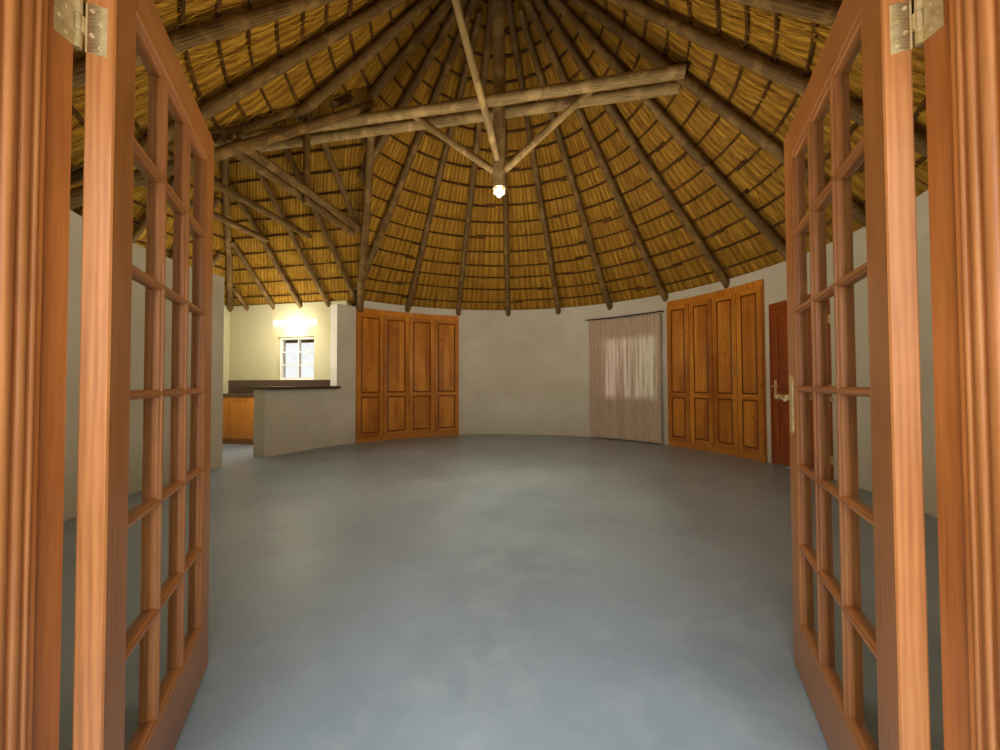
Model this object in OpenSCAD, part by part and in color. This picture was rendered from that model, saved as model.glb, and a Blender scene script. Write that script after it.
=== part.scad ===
// A rondavel: one round thatched room with a hipped kitchen wing, a pole roof on a king post,
// and French doors that open into the room. Millimetres, +Z up, the ground at z = 0, and the
// origin under the middle of the round room. The front doors face -Y and the wing lies to -X.

/* [Round room] */
// Inside radius of the round wall
room_r = 3700; // [3600:50:3800]
// Thickness of the plastered walls
wall_t = 230; // [220:10:250]
// Height of the walls above the floor, at their inside face
wall_h = 2500; // [2450:50:2650]
// Thickness of the floor slab
floor_t = 100; // [80:10:150]

/* [Kitchen wing] */
// Turn of the wing's centre line from straight left towards the back, in degrees
wing_turn = 11; // [9:1:12]
// Half of the wing's inside width
wing_half = 2100; // [2050:50:2150]
// Distance from the middle of the round room to the inside of the wing's end wall
wing_reach = 5900; // [5800:50:6100]
// Height of the half wall between room and kitchen
half_wall_h = 1000; // [900:50:1100]

/* [Roof] */
// Number of rafter poles round the cone
rafter_count = 22; // [22:2:22]
// Thickness of the rafter layer, from the rafters' underside to the laths
rafter_d = 110; // [100:5:120]
// Diameter of a rafter pole at its thin top end
rafter_tip_d = 92; // [80:2:100]
// Diameter of the laths that the thatch is tied to
lath_d = 38; // [30:2:45]
// Spacing of the laths along the slope
lath_pitch = 280; // [240:10:340]
// Thickness of the thatch
thatch_t = 180; // [150:10:220]
// Reach of the thatch past the inside face of the walls, measured level
eave_reach = 650; // [550:25:750]

/* [King post truss] */
// Diameter of the king post
post_d = 140; // [120:5:160]
// Height of the king post's foot above the floor
post_foot = 3360; // [3200:20:3500]
// Diameter of the paired tie beams
tie_d = 125; // [110:5:140]
// Height of the tie beams' centre line above the floor
tie_h = 4300; // [4250:25:4350]
// Clear gap between the two tie beams
tie_gap = 90; // [80:5:100]
// Height of the wing's collar ties above the floor
collar_h = 3500; // [3400:20:3600]

/* [Doors] */
// Width, height and thickness of one French door leaf
leaf_w = 810; // [780:5:810]
leaf_h = 2032; // [1980:4:2040]
leaf_t = 44; // [40:1:48]
// Columns and rows of lights in a leaf
leaf_cols = 3; // [2:1:4]
leaf_rows = 6; // [4:1:7]
// Width of the stiles, the top rail and the bottom rail
stile_w = 95; // [85:5:105]
top_rail = 114; // [95:1:125]
bottom_rail = 188; // [150:2:220]
// Angle that the front doors stand open at, as drawn
open_angle = 116; // [90:1:140]
// Azimuth of the side door, in degrees
side_door_at = 5; // [4:1:6]

/* [Window] */
// Width and height of the curtained window
window_w = 1100; // [900:50:1150]
window_h = 1100; // [900:50:1150]
// Height of its sill above the floor
window_sill = 850; // [800:50:900]

/* [Hidden] */
$fn = 32;
round_fn = 360; // facets of the large round work
root2 = sqrt(2);

room_out = room_r + wall_t;
apex_z = floor_t + wall_h + room_r; // where the rafters' undersides would meet
ridge_z = floor_t + wall_h + wing_half; // the same along the wing's ridge
hip_x = wing_reach - wing_half; // the wing's ridge ends here
ridge_start = room_r - wing_half; // and leaves the cone here
wing_axis = 180 - wing_turn;
valley_angle = asin(wing_half / room_r);
eave_r = room_r + eave_reach;
rafter_step = 360 / rafter_count;
lath_gap = 1.5; // play on both sides of the laths
lath_top = rafter_d + lath_d + 2 * lath_gap; // the thatch lies on this level
thatch_top = lath_top + thatch_t;
cap_r = 220; // the thatch starts here, under the mortar cap
cap_t = 45;
far = 2 * wing_reach; // longer than anything it cuts
play = 3; // on the diameter, round a pole where another piece is housed over it
wall_head = rafter_d - 12; // the walls stop short of the rafters' tops

// Azimuths of the openings and fittings in the round wall
window_at = 49.5;
window_from = 41;
window_to = 58;
pier_at = 141;
half_wall_end = 160;
partition_at = 169.9;
curtain_from = 38.6;
curtain_to = 61;
right_cupboard_from = 12.6;
left_cupboard_from = 103.6;
cupboard_doors = 4;
cupboard_step = 6.2;
left_cupboard_step = 8;

// Front door frame
opening_half = 900; // half the hole in the wall
bearing = 100;
pin_x = 820; // hinge pins, and the inside faces of the jambs
frame_y = -sqrt(room_r * room_r - opening_half * opening_half); // room face of the frame
frame_depth = 140;
leaf_gap = 5; // between leaf and jamb
leaf_z = floor_t + 10;
head_z = leaf_z + leaf_h + 6;
frame_top = head_z + 80;
stop_depth = 12;
knuckle_r = 6;
pin_y = frame_y + knuckle_r + 2;
hinge_h = 100;
hinge_leaf_t = 2.5;
hinge_leaf_w = 32;
hinge_zs = [leaf_z + 200, leaf_z + leaf_h - 249];

// Side door
side_half = 430;
side_leaf_w = 778;
side_leaf_t = 40;
side_pin_y = -395;
side_x = sqrt(room_r * room_r - side_half * side_half);
side_pin_x = side_x - knuckle_r - 2;
side_hinge_zs = concat(hinge_zs, [(hinge_zs[0] + hinge_zs[1]) / 2]);
lug_y = 3;

// A point over the roof's line: t is the level distance out from the apex or the ridge, and h
// the height square to the slope above the rafters' underside
function slope_pt(top_z, t, h) = [t + h / root2, top_z - t + h / root2];
function cone_pt(r, h) = let(p = slope_pt(apex_z, r, h)) [p[0], 0, p[1]];

// A round pole from point a to point b
module pole(a, b, d1, d2) {
    v = b - a;
    translate(a)
        rotate([0, acos(v[2] / norm(v)), atan2(v[1], v[0])])
            cylinder(h = norm(v), d1 = d1, d2 = d2);
}

// Everything under the cone at height h above the rafters' underside
module under_cone(h) {
    top = apex_z + h * root2;
    cylinder(h = top, r1 = top, r2 = 0, $fn = round_fn);
}

// Everything under the wing's roof at height h, in the wing's own frame: +X along its ridge
module under_wing(h) {
    top = ridge_z + h * root2;
    intersection() {
        rotate([90, 0, 90])
            linear_extrude(far) polygon([[-top, 0], [top, 0], [0, top]]);
        rotate([90, 0, 0])
            translate([0, 0, -far])
                linear_extrude(2 * far) polygon([[0, 0], [hip_x + top, 0], [hip_x, top], [0, top]]);
    }
}

module in_wing() {
    rotate([0, 0, wing_axis]) children();
}

// Section of the ring between two azimuths, turned from a profile in radius and height
module turned(from, to) {
    rotate([0, 0, from])
        rotate_extrude(angle = to - from, $fn = round_fn) children();
}

module ring_block(from, to, r_in, r_out, z_low, z_high) {
    turned(from, to)
        translate([r_in, z_low]) square([r_out - r_in, z_high - z_low]);
}

// Round wall whose top follows the slope up to the laths, housed round the rafters
module ring_wall(from, to) {
    difference() {
        turned(from, to)
            polygon([
                [room_r, floor_t], [room_out, floor_t],
                [room_out, apex_z + wall_head * root2 - room_out],
                [room_r, apex_z + wall_head * root2 - room_r]
            ]);
        rafters_between(from, to);
    }
}

// Turn of rafter i from the wing's centre line, and the radius that it reaches down to: the
// valley, or the eave
function rafter_off(i) = min(i * rafter_step, 360 - i * rafter_step);
function rafter_low(i) = rafter_off(i) < valley_angle
    ? ridge_start / (1 - sin(rafter_off(i))) - 20
    : eave_r - 90;

// One rafter of the cone. Every second one runs up to the king post, mitred to its neighbours
module cone_rafter(i, grow = 0) {
    long = i % 2 == 0;
    low = cone_pt(rafter_low(i), rafter_d / 2);
    high = cone_pt(long ? 40 : 430, rafter_d - rafter_tip_d / 2);
    spread = far * tan(rafter_step);
    rotate([0, 0, wing_axis + i * rafter_step])
        if (long)
            intersection() {
                pole(low, high, rafter_d + grow, rafter_tip_d + grow);
                translate([3, 0, 0])
                    linear_extrude(far) polygon([[0, 0], [far, -spread], [far, spread]]);
            }
        else pole(low, high, rafter_d + grow, rafter_tip_d + grow);
}

function rafter_turn(i, from) = (wing_axis + i * rafter_step - from + 720) % 360;

// The housings of the rafters between two azimuths
module rafters_between(from, to) {
    for (i = [0 : rafter_count - 1])
        if (rafter_turn(i, from - 2) < to - from + 4) cone_rafter(i, play);
}

// The rafters from number a to number b, cut round the king post
module rafter_group(a, b) {
    difference() {
        for (i = [a : b]) cone_rafter(i);
        post_pole(play);
    }
}

wing_rafter_d = 90;
wing_rafter_pitch = 600;
valley_d = 120;
valley_drop = (valley_d / 2 - rafter_d + wing_rafter_d) * root2; // its top meets the wing's rafters

// All that is on one side of the wing's ridge line, short of it by a hair, for poles that meet
module one_side(side) {
    translate([0, side > 0 ? 1 : -far - 1, 0]) cube([far, far, apex_z]);
}

// The poles in the two valleys, from the ridge down onto the round wall
module valley_poles(grow = 0) {
    in_wing()
        for (side = [-1, 1])
            intersection() {
                high = [ridge_start, 0, ridge_z - valley_drop];
                foot = [room_r * cos(valley_angle), side * wing_half, ridge_z - wing_half - valley_drop];
                reach = (foot - high) / norm(foot - high);
                pole(high, foot + (160 + grow) * reach, valley_d * 0.85 + grow, valley_d + grow);
                one_side(side);
            }
}

// How far out from the ridge the side slope reaches at x, before the cone takes over
function side_reach(x) = min(
    (x * x - ridge_start * ridge_start) / (2 * ridge_start) - 20, wing_half + eave_reach - 90);

// A rafter pole of the wing's side slope, x along the ridge, from y_high down to the valley or eave
module side_rafter(x, side, y_high, grow) {
    h = rafter_d - wing_rafter_d / 2;
    top = slope_pt(ridge_z, y_high, h);
    low = slope_pt(ridge_z, side_reach(x) + grow, h);
    pole([x, side * low[0], low[1]], [x, side * top[0], top[1]],
         wing_rafter_d + grow, wing_rafter_d - 10 + grow);
}

// A rafter pole of the hipped end, y across it, that stops beside the hip
module end_rafter(y, grow = 0) {
    h = rafter_d - wing_rafter_d / 2;
    beside = (rafter_d + wing_rafter_d) / root2;
    top = slope_pt(ridge_z, abs(y) + beside - h / root2, h);
    low = slope_pt(ridge_z, wing_half + eave_reach - 90, h);
    pole([hip_x + low[0], y, low[1]], [hip_x + top[0], y, top[1]],
         wing_rafter_d + grow, wing_rafter_d - 10 + grow);
}

// The poles under the two hips; grow is for the poles that are cut round them
module hip_poles(grow = 0) {
    h = rafter_d / 2;
    for (side = [-1, 1])
        intersection() {
            low = slope_pt(ridge_z, wing_half + eave_reach - 90, h);
            pole([hip_x + low[0], side * low[0], low[1]], [hip_x, 0, ridge_z + h * root2],
                 rafter_d + grow, rafter_tip_d + grow);
            if (grow > 0) cube(2 * far, center = true);
            else one_side(side);
        }
}

side_rafter_xs = [for (x = ridge_start + 300; x < wing_reach - 200; x = x + wing_rafter_pitch) x];
end_rafter_ys = [for (k = [-2 : 2]) k * wing_rafter_pitch];

// Each pair meets in a mitre over the ridge
module side_rafters(side, grow = 0) {
    intersection() {
        for (x = side_rafter_xs)
            side_rafter(x, side, x < hip_x ? -wing_rafter_d : x - hip_x, grow);
        one_side(side);
    }
}

// One wall of the wing as a box in the wing's frame, its top cut to the slope and the rafters
module wing_wall(x0, x1, y0, y1) {
    difference() {
        intersection() {
            translate([x0, y0, floor_t]) cube([x1 - x0, y1 - y0, far]);
            under_wing(wall_head);
        }
        rotate([0, 0, -wing_axis]) cylinder(h = far, r = room_out + 1, $fn = round_fn);
        children();
    }
}

// The slab stops a hair under what stands on it
module floor_slab() {
    color("#7f8b92")
        linear_extrude(floor_t - 0.05) {
            circle(r = room_out, $fn = round_fn);
            rotate(wing_axis)
                translate([0, -wing_half - wall_t])
                    square([wing_reach + wall_t, 2 * (wing_half + wall_t)]);
        }
}

// The front doorway, with the wall piece over it that bears on both sides
module front_opening() {
    translate([-opening_half, -far, 0]) cube([2 * opening_half, far, far]);
    translate([-opening_half - bearing, -far, frame_top])
        cube([2 * (opening_half + bearing), far, far]);
}

module side_opening() {
    rotate([0, 0, side_door_at])
        translate([0, -side_half, 0]) cube([far, 2 * side_half, far]);
}

module wall_front_left() {
    color("#d8d3c8")
        difference() {
            ring_wall(wing_axis + valley_angle, 270);
            front_opening();
            valley_poles(play);
            in_wing() side_rafters(1, play);
        }
}

module wall_front_right() {
    color("#d8d3c8")
        difference() {
            ring_wall(270, 360 + side_door_at);
            front_opening();
            side_opening();
        }
}

// The front of the wall is flat inside, level with the door frame
module wall_over_front_door() {
    color("#d8d3c8")
        difference() {
            intersection() {
                cylinder(h = far, r = room_out, $fn = round_fn);
                under_cone(wall_head);
                translate([-opening_half - bearing, frame_y - far, frame_top])
                    cube([2 * (opening_half + bearing), far, far]);
            }
            rafters_between(255, 285);
        }
}

module wall_over_side_door() {
    color("#d8d3c8")
        intersection() {
            ring_wall(side_door_at - 10, side_door_at + 10);
            rotate([0, 0, side_door_at])
                translate([0, -side_half, frame_top]) cube([far, 2 * side_half, far]);
        }
}

cupboard_front = room_r - 30; // corners of the carcass's flat fronts
cupboard_back = room_r + 150;
cupboard_top = apex_z - cupboard_back - 15; // just under the rafters
fascia_top = floor_t + wall_h - 10;

// A many-sided bay, one flat side a door, from radius r_in to r_out
module bays(from, step, r_in, r_out, z_low, z_high) {
    turns = [for (k = [0 : cupboard_doors]) from + k * step];
    translate([0, 0, z_low])
        linear_extrude(z_high - z_low)
            polygon(concat(
                [for (a = turns) r_in * [cos(a), sin(a)]],
                [for (k = [cupboard_doors : -1 : 0]) r_out * [cos(turns[k]), sin(turns[k])]]
            ));
}

module right_cupboard_recess() {
    bays(right_cupboard_from, cupboard_step, cupboard_front, cupboard_back, 0, cupboard_top);
}

module left_cupboard_recess() {
    bays(left_cupboard_from, left_cupboard_step, cupboard_front, cupboard_back, 0, cupboard_top);
}

module wall_right() {
    color("#d8d3c8")
        difference() {
            ring_wall(side_door_at, window_from);
            side_opening();
            right_cupboard_recess();
        }
}

module window_opening() {
    rotate([0, 0, window_at])
        translate([0, -window_w / 2, floor_t + window_sill]) cube([far, window_w, window_h]);
}

module wall_window() {
    color("#d8d3c8")
        difference() {
            ring_wall(window_from, window_to);
            window_opening();
        }
}

// Past the valley the wall is level on top and ends in a pier
module wall_back() {
    color("#d8d3c8")
        difference() {
            union() {
                ring_wall(window_to, wing_axis - valley_angle);
                ring_block(wing_axis - valley_angle, pier_at, room_r, room_out,
                           floor_t, floor_t + wall_h);
            }
            left_cupboard_recess();
            valley_poles(play);
            in_wing() side_rafters(-1, play);
        }
}

module partition_wall() {
    color("#cfcabf")
        difference() {
            ring_block(partition_at, wing_axis + valley_angle - 0.02, room_r, room_out,
                       floor_t, floor_t + wall_h);
            valley_poles(play);
            in_wing() side_rafters(1, play);
        }
}

module kitchen_half_wall() {
    color("#cfcabf")
        ring_block(pier_at, half_wall_end, room_r, room_out, floor_t, floor_t + half_wall_h);
}

kitchen_window_x = 4000;
kitchen_window_w = 815;
kitchen_window_h = 830;
kitchen_window_sill = 1160;
unit_from = 3650; // the base units run along the wing's back wall from here to its end
unit_deep = 580;
unit_top = floor_t + 870;
worktop_t = 35;

// The counter on the half wall, and the worktop with its splashback along the back wall
module kitchen_counter() {
    splash_t = 15;
    color("#3a3330") {
        ring_block(pier_at, half_wall_end + 0.8, room_r - 140, room_out + 160,
                   floor_t + half_wall_h, floor_t + half_wall_h + 45);
        in_wing() {
            translate([unit_from - 15, -wing_half, unit_top])
                cube([wing_reach - unit_from + 15, unit_deep + 25, worktop_t]);
            translate([unit_from - 15, -wing_half, unit_top])
                cube([wing_reach - unit_from + 15, splash_t, floor_t + kitchen_window_sill - unit_top]);
        }
    }
}

// The base units: a plinth set back, a carcass, and framed doors with a sunk panel each
module kitchen_units() {
    doors = 4;
    plinth_h = 100;
    door_t = 20;
    door_w = (wing_reach - unit_from) / doors;
    color("#c98a3c")
        in_wing()
            difference() {
                union() {
                    translate([unit_from, -wing_half, floor_t])
                        cube([wing_reach - unit_from, unit_deep - 60, plinth_h]);
                    translate([unit_from, -wing_half, floor_t + plinth_h])
                        cube([wing_reach - unit_from, unit_deep - door_t, unit_top - floor_t - plinth_h]);
                    for (k = [0 : doors - 1])
                        translate([unit_from + k * door_w + 3, -wing_half, floor_t + plinth_h + 4])
                            cube([door_w - 6, unit_deep, unit_top - floor_t - plinth_h - 12]);
                }
                for (k = [0 : doors - 1])
                    translate([unit_from + k * door_w + 68, unit_deep - wing_half - 7,
                               floor_t + plinth_h + 70])
                        cube([door_w - 136, 20, unit_top - floor_t - plinth_h - 145]);
            }
}

// A strip light on the back wall, over the window: a batten with its tube
module strip_light() {
    long = 900;
    at_z = floor_t + 2240;
    color("#e8e0cc")
        in_wing()
            translate([kitchen_window_x + (kitchen_window_w - long) / 2, -wing_half, at_z]) {
                cube([long, 45, 60]);
                for (x = [0, long - 30]) translate([x, 0, -22]) cube([30, 40, 30]);
                translate([15, 26, -6]) rotate([0, 90, 0]) cylinder(h = long - 30, d = 26);
            }
}

module wing_front_wall() {
    color("#d8d3c8")
        in_wing()
            wing_wall(0, wing_reach + wall_t, wing_half, wing_half + wall_t) {
                side_rafters(1, play);
                hip_poles(play);
            }
}

module kitchen_window_opening() {
    translate([kitchen_window_x, -far, floor_t + kitchen_window_sill])
        cube([kitchen_window_w, far, kitchen_window_h]);
}

module wing_back_wall() {
    color("#d8d3c8")
        in_wing()
            wing_wall(0, wing_reach + wall_t, -wing_half - wall_t, -wing_half) {
                side_rafters(-1, play);
                hip_poles(play);
                kitchen_window_opening();
            }
}

module wing_end_wall() {
    color("#d8d3c8")
        in_wing()
            wing_wall(wing_reach, wing_reach + wall_t, -wing_half, wing_half) {
                for (y = end_rafter_ys) end_rafter(y, play);
                hip_poles(play);
            }
}

// A jamb with its stop, and the hinge leaves let in; side is -1 for the left one
module jamb(side) {
    color("#9a5527")
        difference() {
            translate([0, 0, floor_t])
                linear_extrude(frame_top - floor_t)
                    polygon([
                        [side * pin_x, frame_y], [side * opening_half, frame_y],
                        [side * opening_half, frame_y - frame_depth],
                        [side * (pin_x - stop_depth), frame_y - frame_depth],
                        [side * (pin_x - stop_depth), frame_y - leaf_t - 7],
                        [side * pin_x, frame_y - leaf_t - 7]
                    ]);
            for (z = hinge_zs) jamb_hinge_leaf(side, z);
        }
}

module left_jamb() {
    jamb(-1);
}

module right_jamb() {
    jamb(1);
}

module door_head() {
    color("#9a5527")
        difference() {
            translate([-pin_x, frame_y - frame_depth, head_z - stop_depth])
                cube([2 * pin_x, frame_depth, frame_top - head_z + stop_depth]);
            translate([-far, frame_y - leaf_t - 7, 0]) cube([2 * far, far, head_z]);
            // the stop is cut round those of the jambs, with a little play
            for (side = [-1, 1])
                translate([side * pin_x - stop_depth, frame_y - leaf_t - 6.5 - far, 0])
                    cube([2 * stop_depth, far, far]);
        }
}

// The half of a butt hinge that is let into the jamb, with the two outer knuckles
module jamb_hinge_leaf(side, z) {
    translate([side > 0 ? pin_x : -pin_x - hinge_leaf_t, frame_y - hinge_leaf_w, z - hinge_h / 2])
        cube([hinge_leaf_t, hinge_leaf_w, hinge_h]);
}

module knuckle(x, y, z, h) {
    translate([x, y, z - h / 2]) cylinder(h = h, r = knuckle_r);
}

module jamb_hinges() {
    color("#c9a24a")
        for (side = [-1, 1], z = hinge_zs) {
            jamb_hinge_leaf(side, z);
            for (end = [-1, 1]) {
                knuckle_z = z + end * hinge_h / 3;
                knuckle(side * pin_x, pin_y, knuckle_z, hinge_h / 3 - 1);
                translate([side > 0 ? pin_x : -pin_x - hinge_leaf_t, frame_y,
                           knuckle_z - hinge_h / 6 + 0.5])
                    cube([hinge_leaf_t, pin_y - frame_y, hinge_h / 3 - 1]);
            }
        }
    color("#c9a24a")
        rotate([0, 0, side_door_at])
            for (z = side_hinge_zs) {
                side_flap(side_pin_y - lug_y - 30, 30, z);
                for (end = [-1, 1]) side_knuckle(-1, z + end * hinge_h / 3);
            }
}

// The closed leaf, drawn for the right hand, stands from its pin towards -X; hung() turns it
module hung(side) {
    translate([side * pin_x, pin_y, 0])
        rotate([0, 0, -side * open_angle])
            mirror([side > 0 ? 0 : 1, 0, 0])
                translate([-leaf_gap, frame_y - pin_y - leaf_t / 2, 0]) children();
}

light_w = (leaf_w - 2 * stile_w) / leaf_cols;
light_h = (leaf_h - top_rail - bottom_rail) / leaf_rows;
bar_half = 11;
glass_t = 4;

// Section of a moulded glazing bar, with a groove for the glass on both sides
module bar_section() {
    depth = leaf_t / 2 - 2;
    for (face = [-1, 1])
        polygon([
            [-bar_half, face * 2.5], [bar_half, face * 2.5], [bar_half, face * 8],
            [bar_half - 5, face * (depth - 6)], [bar_half - 6, face * depth],
            [6 - bar_half, face * depth], [5 - bar_half, face * (depth - 6)], [-bar_half, face * 8]
        ]);
    square([8, 5.2], center = true);
}

// A leaf lies from x = 0 to -leaf_w, with its middle plane at y = 0
module leaf() {
    color("#b0642c")
        difference() {
            union() {
                difference() {
                    translate([-leaf_w, -leaf_t / 2, leaf_z]) cube([leaf_w, leaf_t, leaf_h]);
                    translate([stile_w - leaf_w, -leaf_t, leaf_z + bottom_rail])
                        cube([leaf_cols * light_w, 2 * leaf_t, leaf_rows * light_h]);
                }
                for (i = [0 : leaf_cols])
                    translate([i * light_w + stile_w - leaf_w, 0, leaf_z + bottom_rail - bar_half])
                        linear_extrude(leaf_rows * light_h + 2 * bar_half) bar_section();
                for (j = [0 : leaf_rows])
                    translate([-stile_w + bar_half, 0, leaf_z + bottom_rail + j * light_h])
                        rotate([0, -90, 0])
                            linear_extrude(leaf_cols * light_w + 2 * bar_half) bar_section();
            }
            for (z = hinge_zs)
                translate([-hinge_leaf_t, leaf_t / 2 - hinge_leaf_w, z - hinge_h / 2])
                    cube([far, far, hinge_h]);
        }
}

// The panes sit in the bars' grooves
module panes() {
    edge = 5;
    color("#cfdcdc")
        for (i = [0 : leaf_cols - 1], j = [0 : leaf_rows - 1])
            translate([i * light_w + stile_w - leaf_w + edge, -glass_t / 2,
                       leaf_z + bottom_rail + j * light_h + edge])
                cube([light_w - 2 * edge, glass_t, light_h - 2 * edge]);
}

// The half of a butt hinge on the leaf's edge, with the middle knuckle
module leaf_hinges() {
    pin_at = pin_y - frame_y + leaf_t / 2;
    color("#c9a24a")
        for (z = hinge_zs) {
            translate([-hinge_leaf_t, leaf_t / 2 - hinge_leaf_w, z - hinge_h / 2])
                cube([hinge_leaf_t, hinge_leaf_w, hinge_h]);
            knuckle(leaf_gap, pin_at, z, hinge_h / 3 - 1);
            translate([-hinge_leaf_t, leaf_t / 2, z - hinge_h / 6 + 0.5])
                cube([leaf_gap + hinge_leaf_t, pin_at - leaf_t / 2, hinge_h / 3 - 1]);
        }
}

handle_z = leaf_z + 1020;
handle_x = 48;
plate_h = 225;
plate_w = 42;

// A lever on a long plate, on both faces of the leaf's middle plane at half thickness t
module lever_pair(t) {
    for (face = [-1, 1]) {
        translate([-plate_w / 2, face > 0 ? t : -t - 4, -plate_h * 0.62])
            cube([plate_w, 4, plate_h]);
        translate([0, face * (t + 4), 0])
            rotate([-90 * face, 0, 0]) cylinder(h = 46, d = 16);
        translate([0, face * (t + 42), 0])
            rotate([0, 90, 0]) cylinder(h = 118, d1 = 17, d2 = 13);
    }
}

module left_leaf() {
    hung(-1) leaf();
}

module left_leaf_glass() {
    hung(-1) panes();
}

module left_leaf_hinges() {
    hung(-1) leaf_hinges();
}

module right_leaf() {
    hung(1) leaf();
}

module right_leaf_glass() {
    hung(1) panes();
}

module right_leaf_hinges() {
    hung(1) leaf_hinges();
}

module right_leaf_handle() {
    color("#c9a24a")
        hung(1) translate([handle_x - leaf_w, 0, handle_z]) lever_pair(leaf_t / 2);
}

// Side door: two jambs, a head and stops, in a frame turned to its azimuth
module side_door_frame() {
    depth = 120;
    color("#8a4a22")
        rotate([0, 0, side_door_at])
            difference() {
                translate([side_x, -side_half, floor_t])
                    cube([depth, 2 * side_half, frame_top - floor_t]);
                translate([side_x - 1, side_pin_y, 0])
                    cube([side_leaf_t + 8, -2 * side_pin_y, head_z]);
                translate([side_x - 1, side_pin_y + stop_depth, 0])
                    cube([far, -2 * side_pin_y - 2 * stop_depth, head_z - stop_depth]);
            }
}

module side_door_leaf() {
    panel_w = (side_leaf_w - 3 * stile_w) / 2;
    panel_z = [leaf_z + 200, leaf_z + 930, leaf_z + 1330];
    panel_h = [610, 280, 590];
    color("#8a4a22")
        rotate([0, 0, side_door_at])
            difference() {
                translate([side_x, side_pin_y + leaf_gap, leaf_z])
                    cube([side_leaf_t, side_leaf_w, leaf_h]);
                for (i = [0, 1], j = [0 : 2])
                    panel_field(side_pin_y + leaf_gap + stile_w + i * (panel_w + stile_w),
                                panel_z[j], panel_w, panel_h[j]);
            }
}

// The sunk margin round a raised panel, on both faces
module panel_field(y, z, w, h) {
    margin = 30;
    for (x = [side_x - 1, side_x + side_leaf_t - 9])
        difference() {
            translate([x, y, z]) cube([10, w, h]);
            translate([x - 1, y + margin, z + margin]) cube([12, w - 2 * margin, h - 2 * margin]);
        }
}

// A hinge flap on the room face of the side door or its jamb
module side_flap(y, w, z) {
    translate([side_x - hinge_leaf_t, y, z - hinge_h / 2]) cube([hinge_leaf_t, w, hinge_h]);
}

// A knuckle on the side door's pin, with the lug that ties it to the leaf (1) or the jamb (-1)
module side_knuckle(side, z) {
    h = hinge_h / 3 - 1;
    knuckle(side_pin_x, side_pin_y, z, h);
    translate([side_pin_x, side_pin_y + (side > 0 ? lug_y : -lug_y - hinge_leaf_t), z - h / 2])
        cube([side_x - side_pin_x, hinge_leaf_t, h]);
}

// The side door's brass: a lever on both faces and its halves of the hinges
module side_door_handle() {
    color("#c9a24a")
        rotate([0, 0, side_door_at]) {
            translate([side_x + side_leaf_t / 2, side_pin_y + leaf_gap + side_leaf_w - handle_x,
                       handle_z])
                rotate([0, 0, -90]) lever_pair(side_leaf_t / 2);
            for (z = side_hinge_zs) {
                side_flap(side_pin_y + lug_y, hinge_leaf_w, z);
                side_knuckle(1, z);
            }
        }
}

// A window frame w by h by depth d from its lower corner, with bars between the lights
module sash(w, h, d, cols, rows, member) {
    difference() {
        cube([d, w, h]);
        for (i = [0 : cols - 1], j = [0 : rows - 1]) {
            clear_w = (w - 2 * member - (cols - 1) * member / 2) / cols;
            clear_h = (h - 2 * member - (rows - 1) * member / 2) / rows;
            translate([-1, member + i * (clear_w + member / 2), member + j * (clear_h + member / 2)])
                cube([d + 2, clear_w, clear_h]);
        }
    }
}

// The panes that fill those lights
module sash_panes(w, h, d, cols, rows, member) {
    clear_w = (w - 2 * member - (cols - 1) * member / 2) / cols;
    clear_h = (h - 2 * member - (rows - 1) * member / 2) / rows;
    for (i = [0 : cols - 1], j = [0 : rows - 1])
        translate([d / 2 - glass_t / 2, member + i * (clear_w + member / 2),
                   member + j * (clear_h + member / 2)])
            cube([glass_t, clear_w, clear_h]);
}

frame_member = 55;
sash_d = 60;

module at_window() {
    rotate([0, 0, window_at])
        translate([room_r + 90, -window_w / 2, floor_t + window_sill]) children();
}

module window_frame() {
    color("#8a4a22") at_window() sash(window_w, window_h, sash_d, 2, 2, frame_member);
}

module at_kitchen_window() {
    in_wing()
        translate([kitchen_window_x, -wing_half - 90, floor_t + kitchen_window_sill])
            rotate([0, 0, -90]) children();
}

module kitchen_window_frame() {
    color("#d9d5cb")
        at_kitchen_window() sash(kitchen_window_w, kitchen_window_h, sash_d, 2, 3, 45);
}

// The panes of both windows
module window_glass() {
    color("#cfdcdc") {
        at_window() sash_panes(window_w, window_h, sash_d, 2, 2, frame_member);
        at_kitchen_window() sash_panes(kitchen_window_w, kitchen_window_h, sash_d, 2, 3, 45);
    }
}

rod_r = room_r - 90;
rod_z = floor_t + 2330;

// The rod follows the wall on three brackets
module curtain_rod() {
    color("#3d3a38") {
        turned(curtain_from - 0.4, curtain_to + 0.6)
            translate([rod_r, rod_z]) circle(d = 22);
        for (a = [curtain_from, (curtain_from + curtain_to) / 2, curtain_to])
            rotate([0, 0, a])
                translate([rod_r, 0, rod_z])
                    rotate([0, 90, 0]) cylinder(h = room_r - rod_r, d = 14);
    }
}

// The space that the gathered curtain hangs in
module curtain() {
    color("#8a7f76")
        ring_block(curtain_from + 0.3, curtain_to - 0.3, rod_r - 30, rod_r + 30,
                   floor_t + 20, rod_z - 12);
}

// A bank of cupboards let into the wall: a carcass, a fascia up to the rafters, and flat doors
module cupboard(from, step) {
    flat_r = cupboard_front * cos(step / 2);
    door_w = 2 * (cupboard_front - 25) * sin(step / 2) - 8;
    door_t = 24;
    low = floor_t + 90;
    color("#c98a3c") {
        bays(from, step, cupboard_front, cupboard_back, floor_t, cupboard_top);
        bays(from, step, cupboard_front, room_r - 6, cupboard_top - 40, fascia_top);
        for (k = [0 : cupboard_doors - 1])
            rotate([0, 0, from + (k + 0.5) * step])
                translate([flat_r - door_t + 2, -door_w / 2, low])
                    cupboard_door(door_w, cupboard_top - low + 60, door_t);
    }
}

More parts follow.
